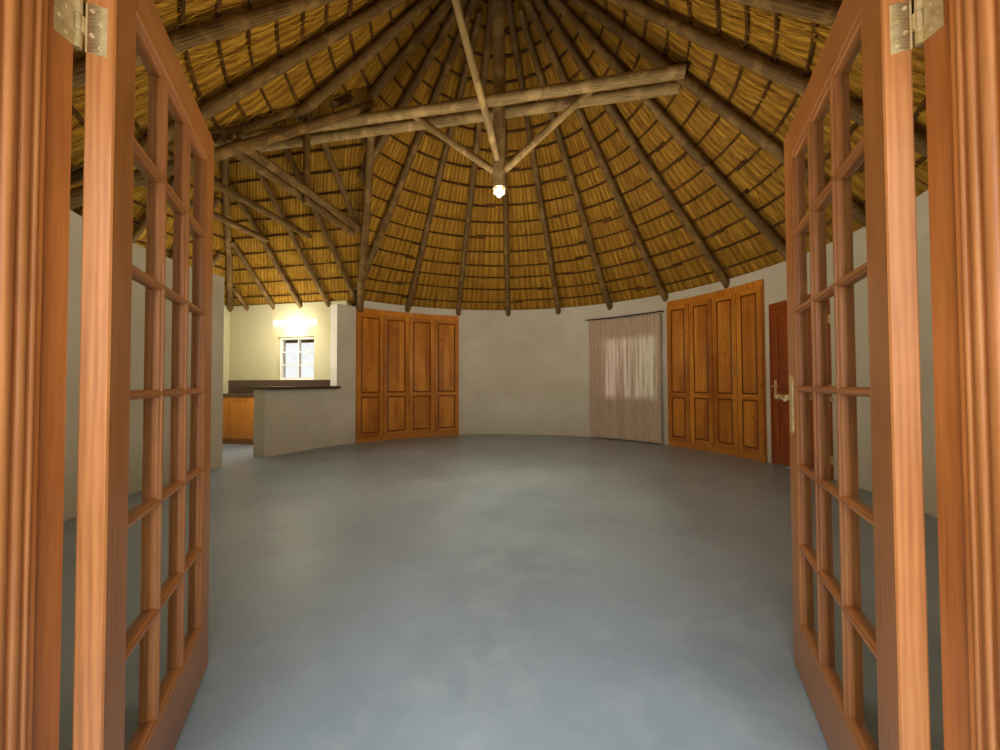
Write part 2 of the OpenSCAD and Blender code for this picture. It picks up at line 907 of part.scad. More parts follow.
module cupboard_door(w, h, t) {
    stile = 70;
    sunk = 8;
    split = h * 0.34; // the middle rail
    difference() {
        cube([t, w, h]);
        for (span = [[stile, split - stile / 2], [split + stile / 2, h - stile]])
            difference() {
                translate([-1, stile, span[0]])
                    cube([sunk + 1, w - 2 * stile, span[1] - span[0]]);
                translate([-2, stile + 25, span[0] + 25])
                    cube([sunk + 3, w - 2 * stile - 50, span[1] - span[0] - 50]);
            }
    }
}

module right_cupboard() {
    cupboard(right_cupboard_from, cupboard_step);
}

// Its end is notched round the foot of the valley pole
module left_cupboard() {
    difference() {
        cupboard(left_cupboard_from, left_cupboard_step);
        valley_poles(4 * play);
    }
}

module front_rafters() {
    color("#6b5a44") rafter_group(0, 10);
}

module back_rafters() {
    color("#6b5a44") rafter_group(11, 21);
}

module wing_rafters() {
    color("#6b5a44")
        in_wing()
            difference() {
                union() {
                    side_rafters(-1);
                    side_rafters(1);
                }
                hip_poles(grow = 4);
            }
}

module hip_rafters() {
    color("#6b5a44")
        in_wing() {
            hip_poles();
            for (y = end_rafter_ys) end_rafter(y);
        }
}

module valley_rafters() {
    color("#6b5a44")
        difference() {
            valley_poles();
            tie_poles(play);
        }
}

lath_rs = [for (r = eave_r - 60; r > 160; r = r - lath_pitch / root2) r];
lath_h = rafter_d + lath_gap + lath_d / 2;

// Centre of the lath at level r, as its distance out and its height, over the cone and the wing
function cone_lath(r) = slope_pt(apex_z, r, lath_h);
function wing_lath(r) = slope_pt(ridge_z, r - ridge_start, lath_h);
// Half the stretch of that lath's ring that the wing takes out
function lath_break(r) = r > ridge_start ? asin(wing_lath(r)[0] / cone_lath(r)[0]) : 0;

// The bent laths, eight-sided in section
module cone_laths() {
    corner_r = lath_d / 2 / cos(22.5);
    color("#4a3826")
        for (r = lath_rs)
            turned(wing_axis + lath_break(r), wing_axis + 360 - lath_break(r))
                translate(cone_lath(r))
                    polygon([for (k = [0 : 7]) let(a = 45 * k + 22.5) corner_r * [cos(a), sin(a)]]);
}

// A straight lath along each slope of the wing, cut short of the next one at the corners
module wing_laths() {
    color("#4a3826")
        in_wing()
            for (r = lath_rs)
                if (r > ridge_start + 60) {
                    p = wing_lath(r);
                    start = cone_lath(r)[0] * cos(lath_break(r)) + lath_d / 2;
                    for (side = [-1, 1])
                        pole([start, side * p[0], p[1]], [hip_x + p[0], side * p[0], p[1]],
                             lath_d, lath_d);
                    end_half = p[0] - lath_d / 2 - 1;
                    pole([hip_x + p[0], -end_half, p[1]], [hip_x + p[0], end_half, p[1]],
                         lath_d, lath_d);
                }
}

module post_pole(grow = 0) {
    translate([0, 0, floor_t + post_foot])
        cylinder(h = apex_z - floor_t - post_foot + 60, d = post_d + grow);
}

// The two tie beams lie on both sides of the post, along the wing's centre line
module tie_poles(grow = 0) {
    reach_right = apex_z + rafter_d * root2 - floor_t - tie_h - tie_d / 2 - 20;
    in_wing()
        for (side = [-1, 1])
            pole([-reach_right, side * (tie_gap + tie_d) / 2, floor_t + tie_h],
                 [hip_x + 150, side * (tie_gap + tie_d) / 2, floor_t + tie_h],
                 tie_d + grow, tie_d - 8 + grow);
}

module king_post() {
    color("#7d6a50")
        difference() {
            post_pole();
            tie_poles(play);
        }
}

module tie_beams() {
    color("#9a8a70")
        difference() {
            tie_poles();
            rafters_between(wing_axis - 185, wing_axis - 175);
        }
}

brace_d = 84;
brace_foot = floor_t + post_foot + 150;

// Braces from the post's foot: two up between the tie beams, two out to the rafters
module braces() {
    strut_r = 1500;
    color("#9a8a70")
        difference() {
            union() {
                in_wing()
                    for (side = [-1, 1])
                        pole([side * 20, 0, brace_foot], [side * 1030, 0, floor_t + tie_h + 20],
                             brace_d, brace_d - 8);
                for (i = [5, 16])
                    rotate([0, 0, wing_axis + i * rafter_step])
                        pole([20, 0, brace_foot + 110], [strut_r, 0, apex_z - strut_r + 20], 80, 70);
            }
            post_pole(play);
            rafters_between(wing_axis + 5 * rafter_step - 1, wing_axis + 5 * rafter_step + 1);
            rafters_between(wing_axis + 16 * rafter_step - 1, wing_axis + 16 * rafter_step + 1);
            tie_poles(play);
        }
}

collar_d = 95;
hanger_d = 80;
hanger_x = 2525;

// Collar ties across the wing: a pair clasping a hanger from the ridge, and two single ones
module collar_ties() {
    reach = ridge_z - floor_t - collar_h - collar_d / 2 + rafter_d * root2 - 25;
    color("#6b5a44")
        difference() {
            in_wing() {
                for (x = [hanger_x - (hanger_d + collar_d) / 2, hanger_x + (hanger_d + collar_d) / 2,
                          3400, 4200])
                    pole([x, -reach, floor_t + collar_h], [x, reach, floor_t + collar_h],
                         collar_d, collar_d);
                translate([hanger_x, 0, floor_t + collar_h - 110])
                    cylinder(h = ridge_z - floor_t - collar_h + 110, d = hanger_d);
            }
            tie_poles(play);
            in_wing() {
                side_rafters(1, play);
                side_rafters(-1, play);
            }
            valley_poles(play);
        }
}

// A dish with three bulbs under the king post
module lamp() {
    top = floor_t + post_foot;
    color("#e8e0cc") {
        translate([0, 0, top - 30]) cylinder(h = 30, r1 = 70, r2 = 45);
        for (k = [0 : 2])
            rotate([0, 0, 90 + 120 * k]) {
                translate([42, 0, top - 52]) cylinder(h = 24, d = 34);
                translate([42, 0, top - 78]) sphere(d = 60);
            }
    }
}

thatch_half = 40; // half the sector that the wing runs into
thatch_sector = (360 - 2 * thatch_half) / 5;

// The thatch's cut edge, rounded under, from its top down to the laths
function thatch_edge(top_z) = let(out = eave_r - (apex_z - top_z)) [
    slope_pt(top_z, out - 50, thatch_top),
    slope_pt(top_z, out - 15, thatch_top - 18),
    slope_pt(top_z, out, thatch_top - 60),
    slope_pt(top_z, out - 10, lath_top)
];

module cone_thatch(from, to) {
    color("#8f7a55")
        turned(from + 0.01, to - 0.01)
            polygon(concat(
                [slope_pt(apex_z, cap_r, lath_top), slope_pt(apex_z, cap_r - thatch_t / 2, thatch_top)],
                thatch_edge(apex_z)
            ));
}

// Half of the wing's thatch in section, from over the ridge to its edge
module wing_thatch_section() {
    polygon(concat(
        [[0, ridge_z + lath_top * root2], [0, ridge_z + thatch_top * root2]],
        thatch_edge(ridge_z)
    ));
}

function sector_start(k) = wing_axis + thatch_half + k * thatch_sector;

module thatch_front_left() {
    cone_thatch(sector_start(0), sector_start(1));
}

module thatch_front_right() {
    cone_thatch(sector_start(1), sector_start(2));
}

module thatch_right() {
    cone_thatch(sector_start(2), sector_start(3));
}

module thatch_back_right() {
    cone_thatch(sector_start(3), sector_start(4));
}

module thatch_back_left() {
    cone_thatch(sector_start(4), sector_start(5));
}

module thatch_left() {
    difference() {
        cone_thatch(wing_axis - thatch_half, wing_axis + thatch_half);
        in_wing() under_wing(lath_top);
    }
}

// A side slope of the wing's thatch, mitred on the hip and cut to the cone
module thatch_wing_side(side) {
    color("#8f7a55")
        difference() {
            in_wing()
                mirror([0, side > 0 ? 0 : 1, 0])
                    intersection() {
                        rotate([90, 0, 90]) linear_extrude(far) wing_thatch_section();
                        linear_extrude(far)
                            polygon([[0, 0], [hip_x, 0], [far, far - hip_x], [0, far - hip_x]]);
                    }
            under_cone(thatch_top + 2);
        }
}

module thatch_wing_front() {
    thatch_wing_side(1);
}

module thatch_wing_back() {
    thatch_wing_side(-1);
}

module thatch_wing_end() {
    color("#8f7a55")
        in_wing()
            intersection() {
                translate([hip_x, 0, 0])
                    rotate([90, 0, 0])
                        translate([0, 0, -far]) linear_extrude(2 * far) wing_thatch_section();
                linear_extrude(far)
                    polygon([[hip_x, 0], [far, far - hip_x], [far, hip_x - far]]);
            }
}

// The mortar cap that closes the cone, down to the king post
module apex_cap() {
    color("#9a938a")
        rotate_extrude($fn = round_fn)
            polygon([
                [0, apex_z + lath_top * root2],
                slope_pt(apex_z, cap_r - 4, lath_top),
                slope_pt(apex_z, cap_r - thatch_t / 2 - 4, thatch_top + 1.5),
                slope_pt(apex_z, 2 * cap_r - 20, thatch_top + 1.5),
                slope_pt(apex_z, 2 * cap_r - 10, thatch_top + cap_t),
                slope_pt(apex_z, -40, thatch_top + cap_t),
                [60, apex_z + (thatch_top + cap_t) * root2 - 15],
                [0, apex_z + (thatch_top + cap_t) * root2]
            ]);
}

// The mortar ridge over the wing
module ridge_cap() {
    color("#9a938a")
        difference() {
            in_wing()
                intersection() {
                    difference() {
                        under_wing(thatch_top + cap_t);
                        under_wing(thatch_top + 1.5);
                    }
                    translate([0, -260, ridge_z]) cube([hip_x + 430, 520, far]);
                }
            under_cone(thatch_top + 3);
        }
}

floor_slab();
wall_front_left();
wall_over_front_door();
wall_front_right();
wall_over_side_door();
wall_right();
wall_window();
wall_back();
partition_wall();
kitchen_half_wall();
kitchen_counter();
wing_front_wall();
wing_end_wall();
wing_back_wall();
left_jamb();
right_jamb();
door_head();
side_door_frame();
window_frame();
window_glass();
kitchen_window_frame();
kitchen_units();
strip_light();
curtain_rod();
curtain();
right_cupboard();
left_cupboard();
front_rafters();
back_rafters();
wing_rafters();
hip_rafters();
valley_rafters();
cone_laths();
wing_laths();
king_post();
tie_beams();
braces();
collar_ties();
lamp();
thatch_front_left();
thatch_front_right();
thatch_right();
thatch_back_right();
thatch_back_left();
thatch_left();
thatch_wing_front();
thatch_wing_back();
thatch_wing_end();
apex_cap();
ridge_cap();
jamb_hinges();
left_leaf();
left_leaf_glass();
left_leaf_hinges();
right_leaf();
right_leaf_glass();
right_leaf_hinges();
right_leaf_handle();
side_door_leaf();
side_door_handle();
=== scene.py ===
import bpy, random
from math import asin, cos, degrees, exp, hypot, pi, radians, sin, sqrt
from mathutils import Vector, Matrix, noise


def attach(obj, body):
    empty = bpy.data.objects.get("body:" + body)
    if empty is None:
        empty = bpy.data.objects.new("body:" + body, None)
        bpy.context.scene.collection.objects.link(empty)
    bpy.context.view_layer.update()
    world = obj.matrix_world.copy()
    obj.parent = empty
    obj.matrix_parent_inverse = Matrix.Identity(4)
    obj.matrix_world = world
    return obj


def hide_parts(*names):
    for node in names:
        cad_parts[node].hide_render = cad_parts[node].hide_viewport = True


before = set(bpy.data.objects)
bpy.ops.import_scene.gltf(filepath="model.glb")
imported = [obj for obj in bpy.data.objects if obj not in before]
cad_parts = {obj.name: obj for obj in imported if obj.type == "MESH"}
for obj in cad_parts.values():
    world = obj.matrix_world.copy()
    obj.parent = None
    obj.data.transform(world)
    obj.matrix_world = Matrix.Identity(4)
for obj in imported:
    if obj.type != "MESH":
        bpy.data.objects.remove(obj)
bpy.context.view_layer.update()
print("hut loaded,", len(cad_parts), "nodes")

# sizes that several pieces share, in metres, as the solids have them
hut = {
    "roomR": 3.7, "apexZ": 6.3, "ridgeZ": 4.7, "ridgeStart": 1.6,
    "hipX": 3.8, "wingTurn": 169.0, "wingHalf": 2.1, "eaveR": 4.35, "layer": 0.11,
    "underThatch": 0.151, "overThatch": 0.331, "rafterCount": 22,
}
roomR, apexZ, ridgeZ, ridgeStart = (hut[k] for k in ("roomR", "apexZ", "ridgeZ", "ridgeStart"))
hipX, wingTurn, wingHalf, eaveR = (hut[k] for k in ("hipX", "wingTurn", "wingHalf", "eaveR"))
underThatch, overThatch = hut["underThatch"], hut["overThatch"]
root2 = sqrt(2)
rafterStep = 360 / hut["rafterCount"]
acrossX, acrossY, upward = Vector((1, 0, 0)), Vector((0, 1, 0)), Vector((0, 0, 1))


# view
view = {"lens": 13.54, "spot": (0, -4.30, 1.188), "pitch": 1.2, "roll": 0.22}

cameraData = bpy.data.cameras.new("doorwayView")
cameraData.lens, cameraData.sensor_width, cameraData.clip_start = view["lens"], 36, 0.02
camera = bpy.data.objects.new("doorwayView", cameraData)
camera.location = view["spot"]
camera.rotation_euler = (radians(90 + view["pitch"]), radians(view["roll"]), 0)
bpy.context.scene.collection.objects.link(camera)
bpy.context.scene.camera = camera
bpy.context.scene.view_settings.view_transform = "Standard"


# places on the hut
def polar(r, turn, z):
    a = radians(turn)
    return Vector((r * cos(a), r * sin(a), z))


def wingSpot(x, y, z):  # x along the wing's ridge, y to its front
    a = radians(wingTurn)
    return Vector((x * cos(a) - y * sin(a), x * sin(a) + y * cos(a), z))


def slope(topZ, t, h):  # level distance out and height, h square to the slope over the rafters' underside
    return t + h / root2, topZ - t + h / root2


def coneSpot(t, h, turn):
    r, z = slope(apexZ, t, h)
    return polar(r, turn, z)


def valleyTurn(t, h):  # half of what the wing takes out of the cone at this level
    if t <= ridgeStart - h / root2:
        return 0.0
    return degrees(asin((t - ridgeStart + h / root2) / (t + h / root2)))


# meshes
def newParts():
    return {"points": [], "faces": [], "uvs": []}


def addFace(parts, corners, uvs):
    parts["faces"].append(corners)
    parts["uvs"].extend(uvs)


def addGrid(parts, rows, cols, place, spread):  # place and spread take fractions along and across
    base = len(parts["points"])
    maps = []
    for j in range(rows + 1):
        for i in range(cols + 1):
            parts["points"].append(place(i / cols, j / rows))
            maps.append(spread(i / cols, j / rows))
    for j in range(rows):
        for i in range(cols):
            a = j * (cols + 1) + i
            ids = (a, a + 1, a + cols + 2, a + cols + 1)
            addFace(parts, [base + k for k in ids], [maps[k] for k in ids])


def addSweep(parts, outline, start, end, wide, deep, shift=0.0):  # a planed or moulded length
    base, n = len(parts["points"]), len(outline)
    reach = (end - start).length
    round_ = [0.0]
    for k in range(n):
        a, b = outline[k], outline[(k + 1) % n]
        round_.append(round_[-1] + hypot(b[0] - a[0], b[1] - a[1]))
    for spot in (start, end):
        parts["points"].extend(spot + wide * p[0] + deep * p[1] for p in outline)
    for k in range(n):
        m = (k + 1) % n
        addFace(parts, [base + k, base + m, base + n + m, base + n + k],
                [(round_[k] + shift, shift), (round_[k + 1] + shift, shift),
                 (round_[k + 1] + shift, shift + reach), (round_[k] + shift, shift + reach)])
    for first, order in ((0, -1), (n, 1)):
        ids = range(n)[::order]
        uvs = [(shift + outline[k][0], shift + outline[k][1] * 0.2) for k in ids]
        addFace(parts, [base + first + k for k in ids], uvs)


def addTurned(parts, outline, spot, axis, count=20):  # outline of radius and height, turned about axis
    base, n = len(parts["points"]), len(outline)
    axis = axis.normalized()
    side = axis.orthogonal().normalized()
    other = axis.cross(side)
    for r, h in outline:
        for k in range(count):
            a = 2 * pi * k / count
            parts["points"].append(spot + axis * h + (side * cos(a) + other * sin(a)) * max(r, 1e-5))
    for j in range(n - 1):
        for k in range(count):
            m = (k + 1) % count
            ids = (j * count + k, j * count + m, (j + 1) * count + m, (j + 1) * count + k)
            u0, u1, v0, v1 = k / count, (k + 1) / count, outline[j][1], outline[j + 1][1]
            addFace(parts, [base + i for i in ids], [(u0, v0), (u1, v0), (u1, v1), (u0, v1)])


def planed(width, depth, edge=0.002):  # a rectangle with its corners taken off
    w, d = width / 2, depth / 2
    return [(w, edge - d), (w, d - edge), (w - edge, d), (edge - w, d),
            (-w, d - edge), (-w, edge - d), (edge - w, -d), (w - edge, -d)]


def makePiece(name, parts, material, body="hut", nodes=(), turn=None, sharp=40):
    mesh = bpy.data.meshes.new(name)
    mesh.from_pydata(parts["points"], [], parts["faces"])
    layer = mesh.uv_layers.new(name="grainMap")
    layer.uv.foreach_set("vector", [c for uv in parts["uvs"] for c in uv])
    if turn is not None:
        mesh.transform(turn)
        if turn.determinant() < 0:
            mesh.flip_normals()
    mesh.polygons.foreach_set("use_smooth", [True] * len(mesh.polygons))
    mesh.set_sharp_from_angle(angle=radians(sharp))
    mesh.materials.append(material)
    piece = bpy.data.objects.new(name, mesh)
    bpy.context.scene.collection.objects.link(piece)
    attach(piece, body)
    if nodes:
        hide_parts(*nodes)
    return piece


# shader groups
def tone(red, green, blue):
    return tuple((c / 255) ** 2.2 for c in (red, green, blue)) + (1,)  # from screen values


def scaled(colour, by):
    return tuple(min(1, c * by) for c in colour[:3]) + (1,)


def put(tree, kind, feeds={}, **settings):
    node = tree.nodes.new("ShaderNode" + kind)
    for key, value in settings.items():
        setattr(node, key, value)
    for key, value in feeds.items():
        if isinstance(value, bpy.types.NodeSocket):
            tree.links.new(value, node.inputs[key])
        else:
            node.inputs[key].default_value = value
    return node


def maths(tree, operation, first, second=0.0, third=0.0):
    return put(tree, "Math", {0: first, 1: second, 2: third}, operation=operation).outputs[0]


def times(tree, first, second):
    return maths(tree, "MULTIPLY", first, second)


def mixTone(tree, factor, first, second, mode="MIX"):
    return put(tree, "Mix", {0: factor, 6: first, 7: second}, data_type="RGBA", blend_type=mode).outputs[2]


def between(tree, value, low, high):  # 0 at low, 1 at high
    return put(tree, "MapRange", {0: value, 1: low, 2: high}).outputs[0]


def stretched(tree, vector, x, y, z):
    scale = put(tree, "CombineXYZ", {0: x, 1: y, 2: z}).outputs[0]
    return put(tree, "VectorMath", {0: vector, 1: scale}, operation="MULTIPLY").outputs[0]


def noisy(tree, vector, scale, detail, **more):
    return put(tree, "TexNoise", {"Vector": vector, "Scale": scale, "Detail": detail, **more}).outputs[0]


def startGroup(name, inputs, outputs):
    group = bpy.data.node_groups.new(name, "ShaderNodeTree")
    for label, kind, value in inputs:
        socket = group.interface.new_socket(label, in_out="INPUT", socket_type="NodeSocket" + kind)
        if value is not None:
            socket.default_value = value
    for label, kind in outputs:
        group.interface.new_socket(label, in_out="OUTPUT", socket_type="NodeSocket" + kind)
    return group, group.nodes.new("NodeGroupInput").outputs, group.nodes.new("NodeGroupOutput").inputs


def makeGrainLines():  # long fibres: wood, bark and straw; they run along the vector's Y
    group, given, out = startGroup("grainLines", [
        ("Vector", "Vector", None), ("Across", "Float", 60.0), ("Along", "Float", 3.0),
        ("Bands", "Float", 8.0), ("Contrast", "Float", 0.3), ("Light", "Color", (1, 1, 1, 1)),
        ("Dark", "Color", (0, 0, 0, 1)),
    ], [("Color", "Color"), ("Height", "Float")])
    across, along = given["Across"], given["Along"]
    fine = noisy(group, stretched(group, given["Vector"], across, along, across), 1.0, 4.0, Roughness=0.65)
    broadVector = stretched(group, given["Vector"], times(group, across, 0.12),
                            times(group, along, 0.35), times(group, across, 0.12))
    broad = noisy(group, broadVector, 1.0, 3.0)
    bands = given["Bands"]
    bandVector = stretched(group, given["Vector"], bands, times(group, bands, 0.06), bands)
    rings = put(group, "TexWave", {"Vector": bandVector, "Scale": 1.0, "Distortion": 5.0, "Detail": 2.0,
                                   "Detail Scale": 1.5}).outputs[1]
    mixed = maths(group, "MULTIPLY_ADD", fine, 0.5, maths(group, "MULTIPLY_ADD", broad, 0.35,
                                                          times(group, rings, 0.15)))
    low = maths(group, "SUBTRACT", 0.5, given["Contrast"])
    high = maths(group, "ADD", 0.5, given["Contrast"])
    lightness = between(group, mixed, low, high)
    group.links.new(mixTone(group, lightness, given["Dark"], given["Light"]), out["Color"])
    group.links.new(fine, out["Height"])
    return group


def makeStains():  # soft patches of dust, wear and damp
    group, given, out = startGroup("stains", [
        ("Vector", "Vector", None), ("Scale", "Float", 2.0), ("Low", "Float", 0.45), ("High", "Float", 0.7),
    ], [("Mask", "Float")])
    patches = noisy(group, given["Vector"], given["Scale"], 6.0, Roughness=0.6, Distortion=0.4)
    group.links.new(between(group, patches, given["Low"], given["High"]), out["Mask"])
    return group


def makeFootDirt():  # splashes that thin out upwards
    group, given, out = startGroup("footDirt", [
        ("Vector", "Vector", None), ("Foot", "Float", 0.1), ("Top", "Float", 0.7),
    ], [("Mask", "Float")])
    height = put(group, "SeparateXYZ", {0: given["Vector"]}).outputs[2]
    ragged = noisy(group, given["Vector"], 3.5, 5.0)
    level = maths(group, "ADD", height, times(group, maths(group, "SUBTRACT", ragged, 0.5), 0.7))
    group.links.new(times(group, between(group, level, given["Top"], given["Foot"]), ragged), out["Mask"])
    return group


def makeHandLumps():  # a surface that was worked by hand with a float
    group, given, out = startGroup("handLumps", [
        ("Vector", "Vector", None), ("Broad", "Float", 2.2), ("Fine", "Float", 60.0), ("Grit", "Float", 0.1),
    ], [("Height", "Float"), ("Mask", "Float")])
    broad = noisy(group, given["Vector"], given["Broad"], 3.0)
    fine = noisy(group, given["Vector"], given["Fine"], 3.0)
    group.links.new(maths(group, "MULTIPLY_ADD", fine, given["Grit"], broad), out["Height"])
    group.links.new(broad, out["Mask"])
    return group


def makeClothWeave():
    group, given, out = startGroup("clothWeave", [
        ("Vector", "Vector", None), ("Threads", "Float", 900.0),
    ], [("Height", "Float"), ("Mask", "Float")])
    threads = given["Threads"]
    sets = []
    for way, spread in (("X", (threads, 0.0, 0.0)), ("Y", (0.0, threads, 0.0))):  # the warp and the weft
        feeds = {"Vector": stretched(group, given["Vector"], *spread), "Scale": 0.16, "Distortion": 0.6}
        sets.append(put(group, "TexWave", feeds, bands_direction=way).outputs[1])
    group.links.new(maths(group, "MAXIMUM", *sets), out["Height"])
    group.links.new(noisy(group, stretched(group, given["Vector"], 40.0, 4.0, 1.0), 1.0, 3.0), out["Mask"])
    return group


def makeKnots():  # round dark knots, stretched along the grain
    group, given, out = startGroup("knots", [
        ("Vector", "Vector", None), ("Across", "Float", 9.0), ("Along", "Float", 5.0),
        ("Size", "Float", 0.16),
    ], [("Mask", "Float")])
    bent = noisy(group, given["Vector"], 12.0, 2.0)
    place = stretched(group, given["Vector"], given["Across"], given["Along"], 1.0)
    spots = put(group, "TexVoronoi", {"Vector": place, "Scale": 1.0, "Randomness": 1.0}).outputs["Distance"]
    spots = maths(group, "ADD", spots, times(group, maths(group, "SUBTRACT", bent, 0.5), 0.1))
    group.links.new(between(group, spots, given["Size"], times(group, given["Size"], 0.35)), out["Mask"])
    return group


grainLines, stains, footDirt, knots = makeGrainLines(), makeStains(), makeFootDirt(), makeKnots()
handLumps, clothWeave = makeHandLumps(), makeClothWeave()


def useGroup(tree, group, **feeds):
    return put(tree, "Group", feeds, node_tree=group).outputs


def stained(tree, vector, scale, low, high):
    return useGroup(tree, stains, Vector=vector, Scale=scale, Low=low, High=high)["Mask"]


def newMaterial(name, **finish):
    material = bpy.data.materials.new(name)
    material.use_nodes = True
    shader = material.node_tree.nodes["Principled BSDF"]
    for key, value in finish.items():
        shader.inputs[key].default_value = value
    return material, material.node_tree, shader


def feed(shader, name, value):
    shader.id_data.links.new(value, shader.inputs[name])


def setBump(tree, shader, height, strength, distance):
    bump = put(tree, "Bump", {"Height": height, "Strength": strength, "Distance": distance})
    feed(shader, "Normal", bump.outputs[0])


def mappedBy(tree, kind, turn=(0, 0, 0), shift=(0, 0, 0)):
    source = put(tree, "TexCoord").outputs[kind]
    turn = tuple(radians(a) for a in turn)
    return put(tree, "Mapping", {"Vector": source, "Location": shift, "Rotation": turn}).outputs[0]


# finishes
def makeWood(name, light, dark, kind="UV", turn=(0, 0, 0), across=110.0, along=3.5, bands=22.0, contrast=0.24,
             roughness=0.38, coat=0.25, wear=0.25, boards=0.35, knotty=0.0):
    material, tree, shader = newMaterial(name, **{"Coat Weight": coat, "Coat Roughness": 0.22})
    vector = mappedBy(tree, kind, turn)
    grain = useGroup(tree, grainLines, Vector=vector, Across=across, Along=along, Bands=bands,
                     Contrast=contrast, Light=light, Dark=dark)
    place = put(tree, "TexCoord").outputs["Object"]
    patches = stained(tree, place, 2.6, 0.4, 0.75)
    dirt = useGroup(tree, footDirt, Vector=place, Foot=0.1, Top=0.55)["Mask"]
    board = stained(tree, vector, 0.31, 0.38, 0.62)
    wood = mixTone(tree, times(tree, board, boards), grain["Color"], dark)
    if knotty:
        spots = useGroup(tree, knots, Vector=vector, Size=knotty)["Mask"]
        wood = mixTone(tree, times(tree, spots, 0.8), wood, scaled(dark, 0.35))
    faded = mixTone(tree, times(tree, patches, wear), wood, scaled(light, 1.35))
    soiled = mixTone(tree, times(tree, dirt, 0.6), faded, tone(92, 72, 52))
    feed(shader, "Base Color", soiled)
    feed(shader, "Roughness", maths(tree, "MULTIPLY_ADD", grain["Height"], 0.25, roughness - 0.1))
    setBump(tree, shader, grain["Height"], 0.25, 0.0012)
    return material


frameTones = (tone(180, 110, 54), tone(116, 60, 28))
uprightGrain, levelGrain = ("Object", (90, 0, 0)), ("Object", (0, 0, 90))
pineGrain = {"across": 60.0, "along": 1.8, "bands": 15.0, "roughness": 0.42}
mahogany = makeWood("mahoganyVarnished", tone(184, 122, 68), tone(124, 70, 32))
jambWood = makeWood("jambMahogany", *frameTones, *uprightGrain, wear=0.12)
headWood = makeWood("headMahogany", *frameTones, *levelGrain, wear=0.12)
darkDoorWood = makeWood("sideDoorMahogany", tone(166, 80, 24), tone(104, 42, 8), *uprightGrain, wear=0.1)
pine = makeWood("cupboardPine", tone(224, 146, 52), tone(156, 84, 18), *uprightGrain, **pineGrain,
                contrast=0.2, wear=0.15)
boardPine = makeWood("boardPine", tone(240, 162, 58), tone(136, 68, 14), **pineGrain,
                     wear=0.12, boards=0.85, knotty=0.16)
# a darker pine for the panels' bevels and the doors' edge returns: painted shade in the recesses and the gaps
# between doors
recessShadePine = makeWood("recessShadePine", tone(134, 74, 22), tone(84, 40, 8), **pineGrain, contrast=0.2, wear=0.1)
counterWood = makeWood("counterTop", tone(88, 66, 52), tone(46, 34, 28), *levelGrain, roughness=0.3, coat=0.4)

barkFinish = {
    "rafterBark": (tone(128, 100, 60), tone(60, 42, 24)),
    "trussBark": (tone(172, 146, 100), tone(96, 74, 44)),
    "lathBark": (tone(92, 62, 30), tone(38, 24, 12)),
}


def makeBark(name, light, dark):
    material, tree, shader = newMaterial(name)
    grain = useGroup(tree, grainLines, Vector=mappedBy(tree, "UV"), Across=70.0, Along=5.0, Bands=14.0,
                     Contrast=0.2, Light=light, Dark=dark)
    place = put(tree, "TexCoord").outputs["Object"]
    peeled = stained(tree, place, 5.0, 0.5, 0.62)
    colour = mixTone(tree, times(tree, peeled, 0.45), grain["Color"], scaled(light, 1.6))
    feed(shader, "Base Color", colour)
    feed(shader, "Roughness", maths(tree, "MULTIPLY_ADD", grain["Height"], 0.3, 0.55))
    setBump(tree, shader, maths(tree, "MULTIPLY_ADD", peeled, 0.4, grain["Height"]), 0.6, 0.004)
    return material


rafterBark, trussBark, lathBark = [makeBark(name, *tones) for name, tones in barkFinish.items()]


def makeStraw(name, light, dark, aged, agedShare, depth):
    material, tree, shader = newMaterial(name)
    vector = mappedBy(tree, "UV")
    # the stem streaks are partly the straw's own varied tone and partly painted light: the dark tone stands
    # for the shade between strands, the light tone for their lit tops
    stemsAndGapShade = useGroup(tree, grainLines, Vector=vector, Across=130.0, Along=2.6, Bands=3.0, Contrast=0.17,
                     Light=light, Dark=dark)
    bundles = useGroup(tree, grainLines, Vector=vector, Across=22.0, Along=1.6, Bands=1.0, Contrast=0.22,
                       Light=(1, 1, 1, 1), Dark=(0.42, 0.38, 0.32, 1))
    place = put(tree, "TexCoord").outputs["Object"]
    old = stained(tree, place, 1.3, 0.35, 0.7)
    colour = mixTone(tree, 0.8, stemsAndGapShade["Color"], bundles["Color"], "MULTIPLY")
    colour = mixTone(tree, times(tree, old, agedShare), colour, aged)
    feed(shader, "Base Color", colour)
    feed(shader, "Roughness", maths(tree, "MULTIPLY_ADD", stemsAndGapShade["Height"], 0.3, 0.5))
    setBump(tree, shader, maths(tree, "MULTIPLY_ADD", bundles["Height"], 1.6, stemsAndGapShade["Height"]), 0.9, depth)
    return material


# each straw's dark tone is partly painted shade between the strands
roomStraw = makeStraw("roomStraw", tone(232, 178, 66), tone(104, 64, 14), tone(150, 98, 28), 0.35, 0.012)
roofStraw = makeStraw("roofStraw", tone(176, 158, 122), tone(92, 78, 58), tone(122, 112, 96), 0.55, 0.014)


def makePlaster(name, light, shade, dirtTone):
    material, tree, shader = newMaterial(name, Roughness=0.85)
    place = mappedBy(tree, "Object")
    skin = useGroup(tree, handLumps, Vector=place, Broad=2.2, Fine=70.0, Grit=0.06)
    patches = stained(tree, place, 1.1, 0.35, 0.75)
    dirt = useGroup(tree, footDirt, Vector=place, Foot=0.05, Top=0.65)["Mask"]
    colour = mixTone(tree, patches, light, shade)
    colour = mixTone(tree, times(tree, dirt, 0.6), colour, dirtTone)
    feed(shader, "Base Color", colour)
    setBump(tree, shader, skin["Height"], 0.7, 0.02)
    return material


plaster = makePlaster("limePlaster", tone(204, 196, 178), tone(184, 175, 154), tone(134, 118, 94))
kitchenPlaster = makePlaster("kitchenPlaster", tone(200, 190, 150), tone(184, 173, 130), tone(146, 132, 94))


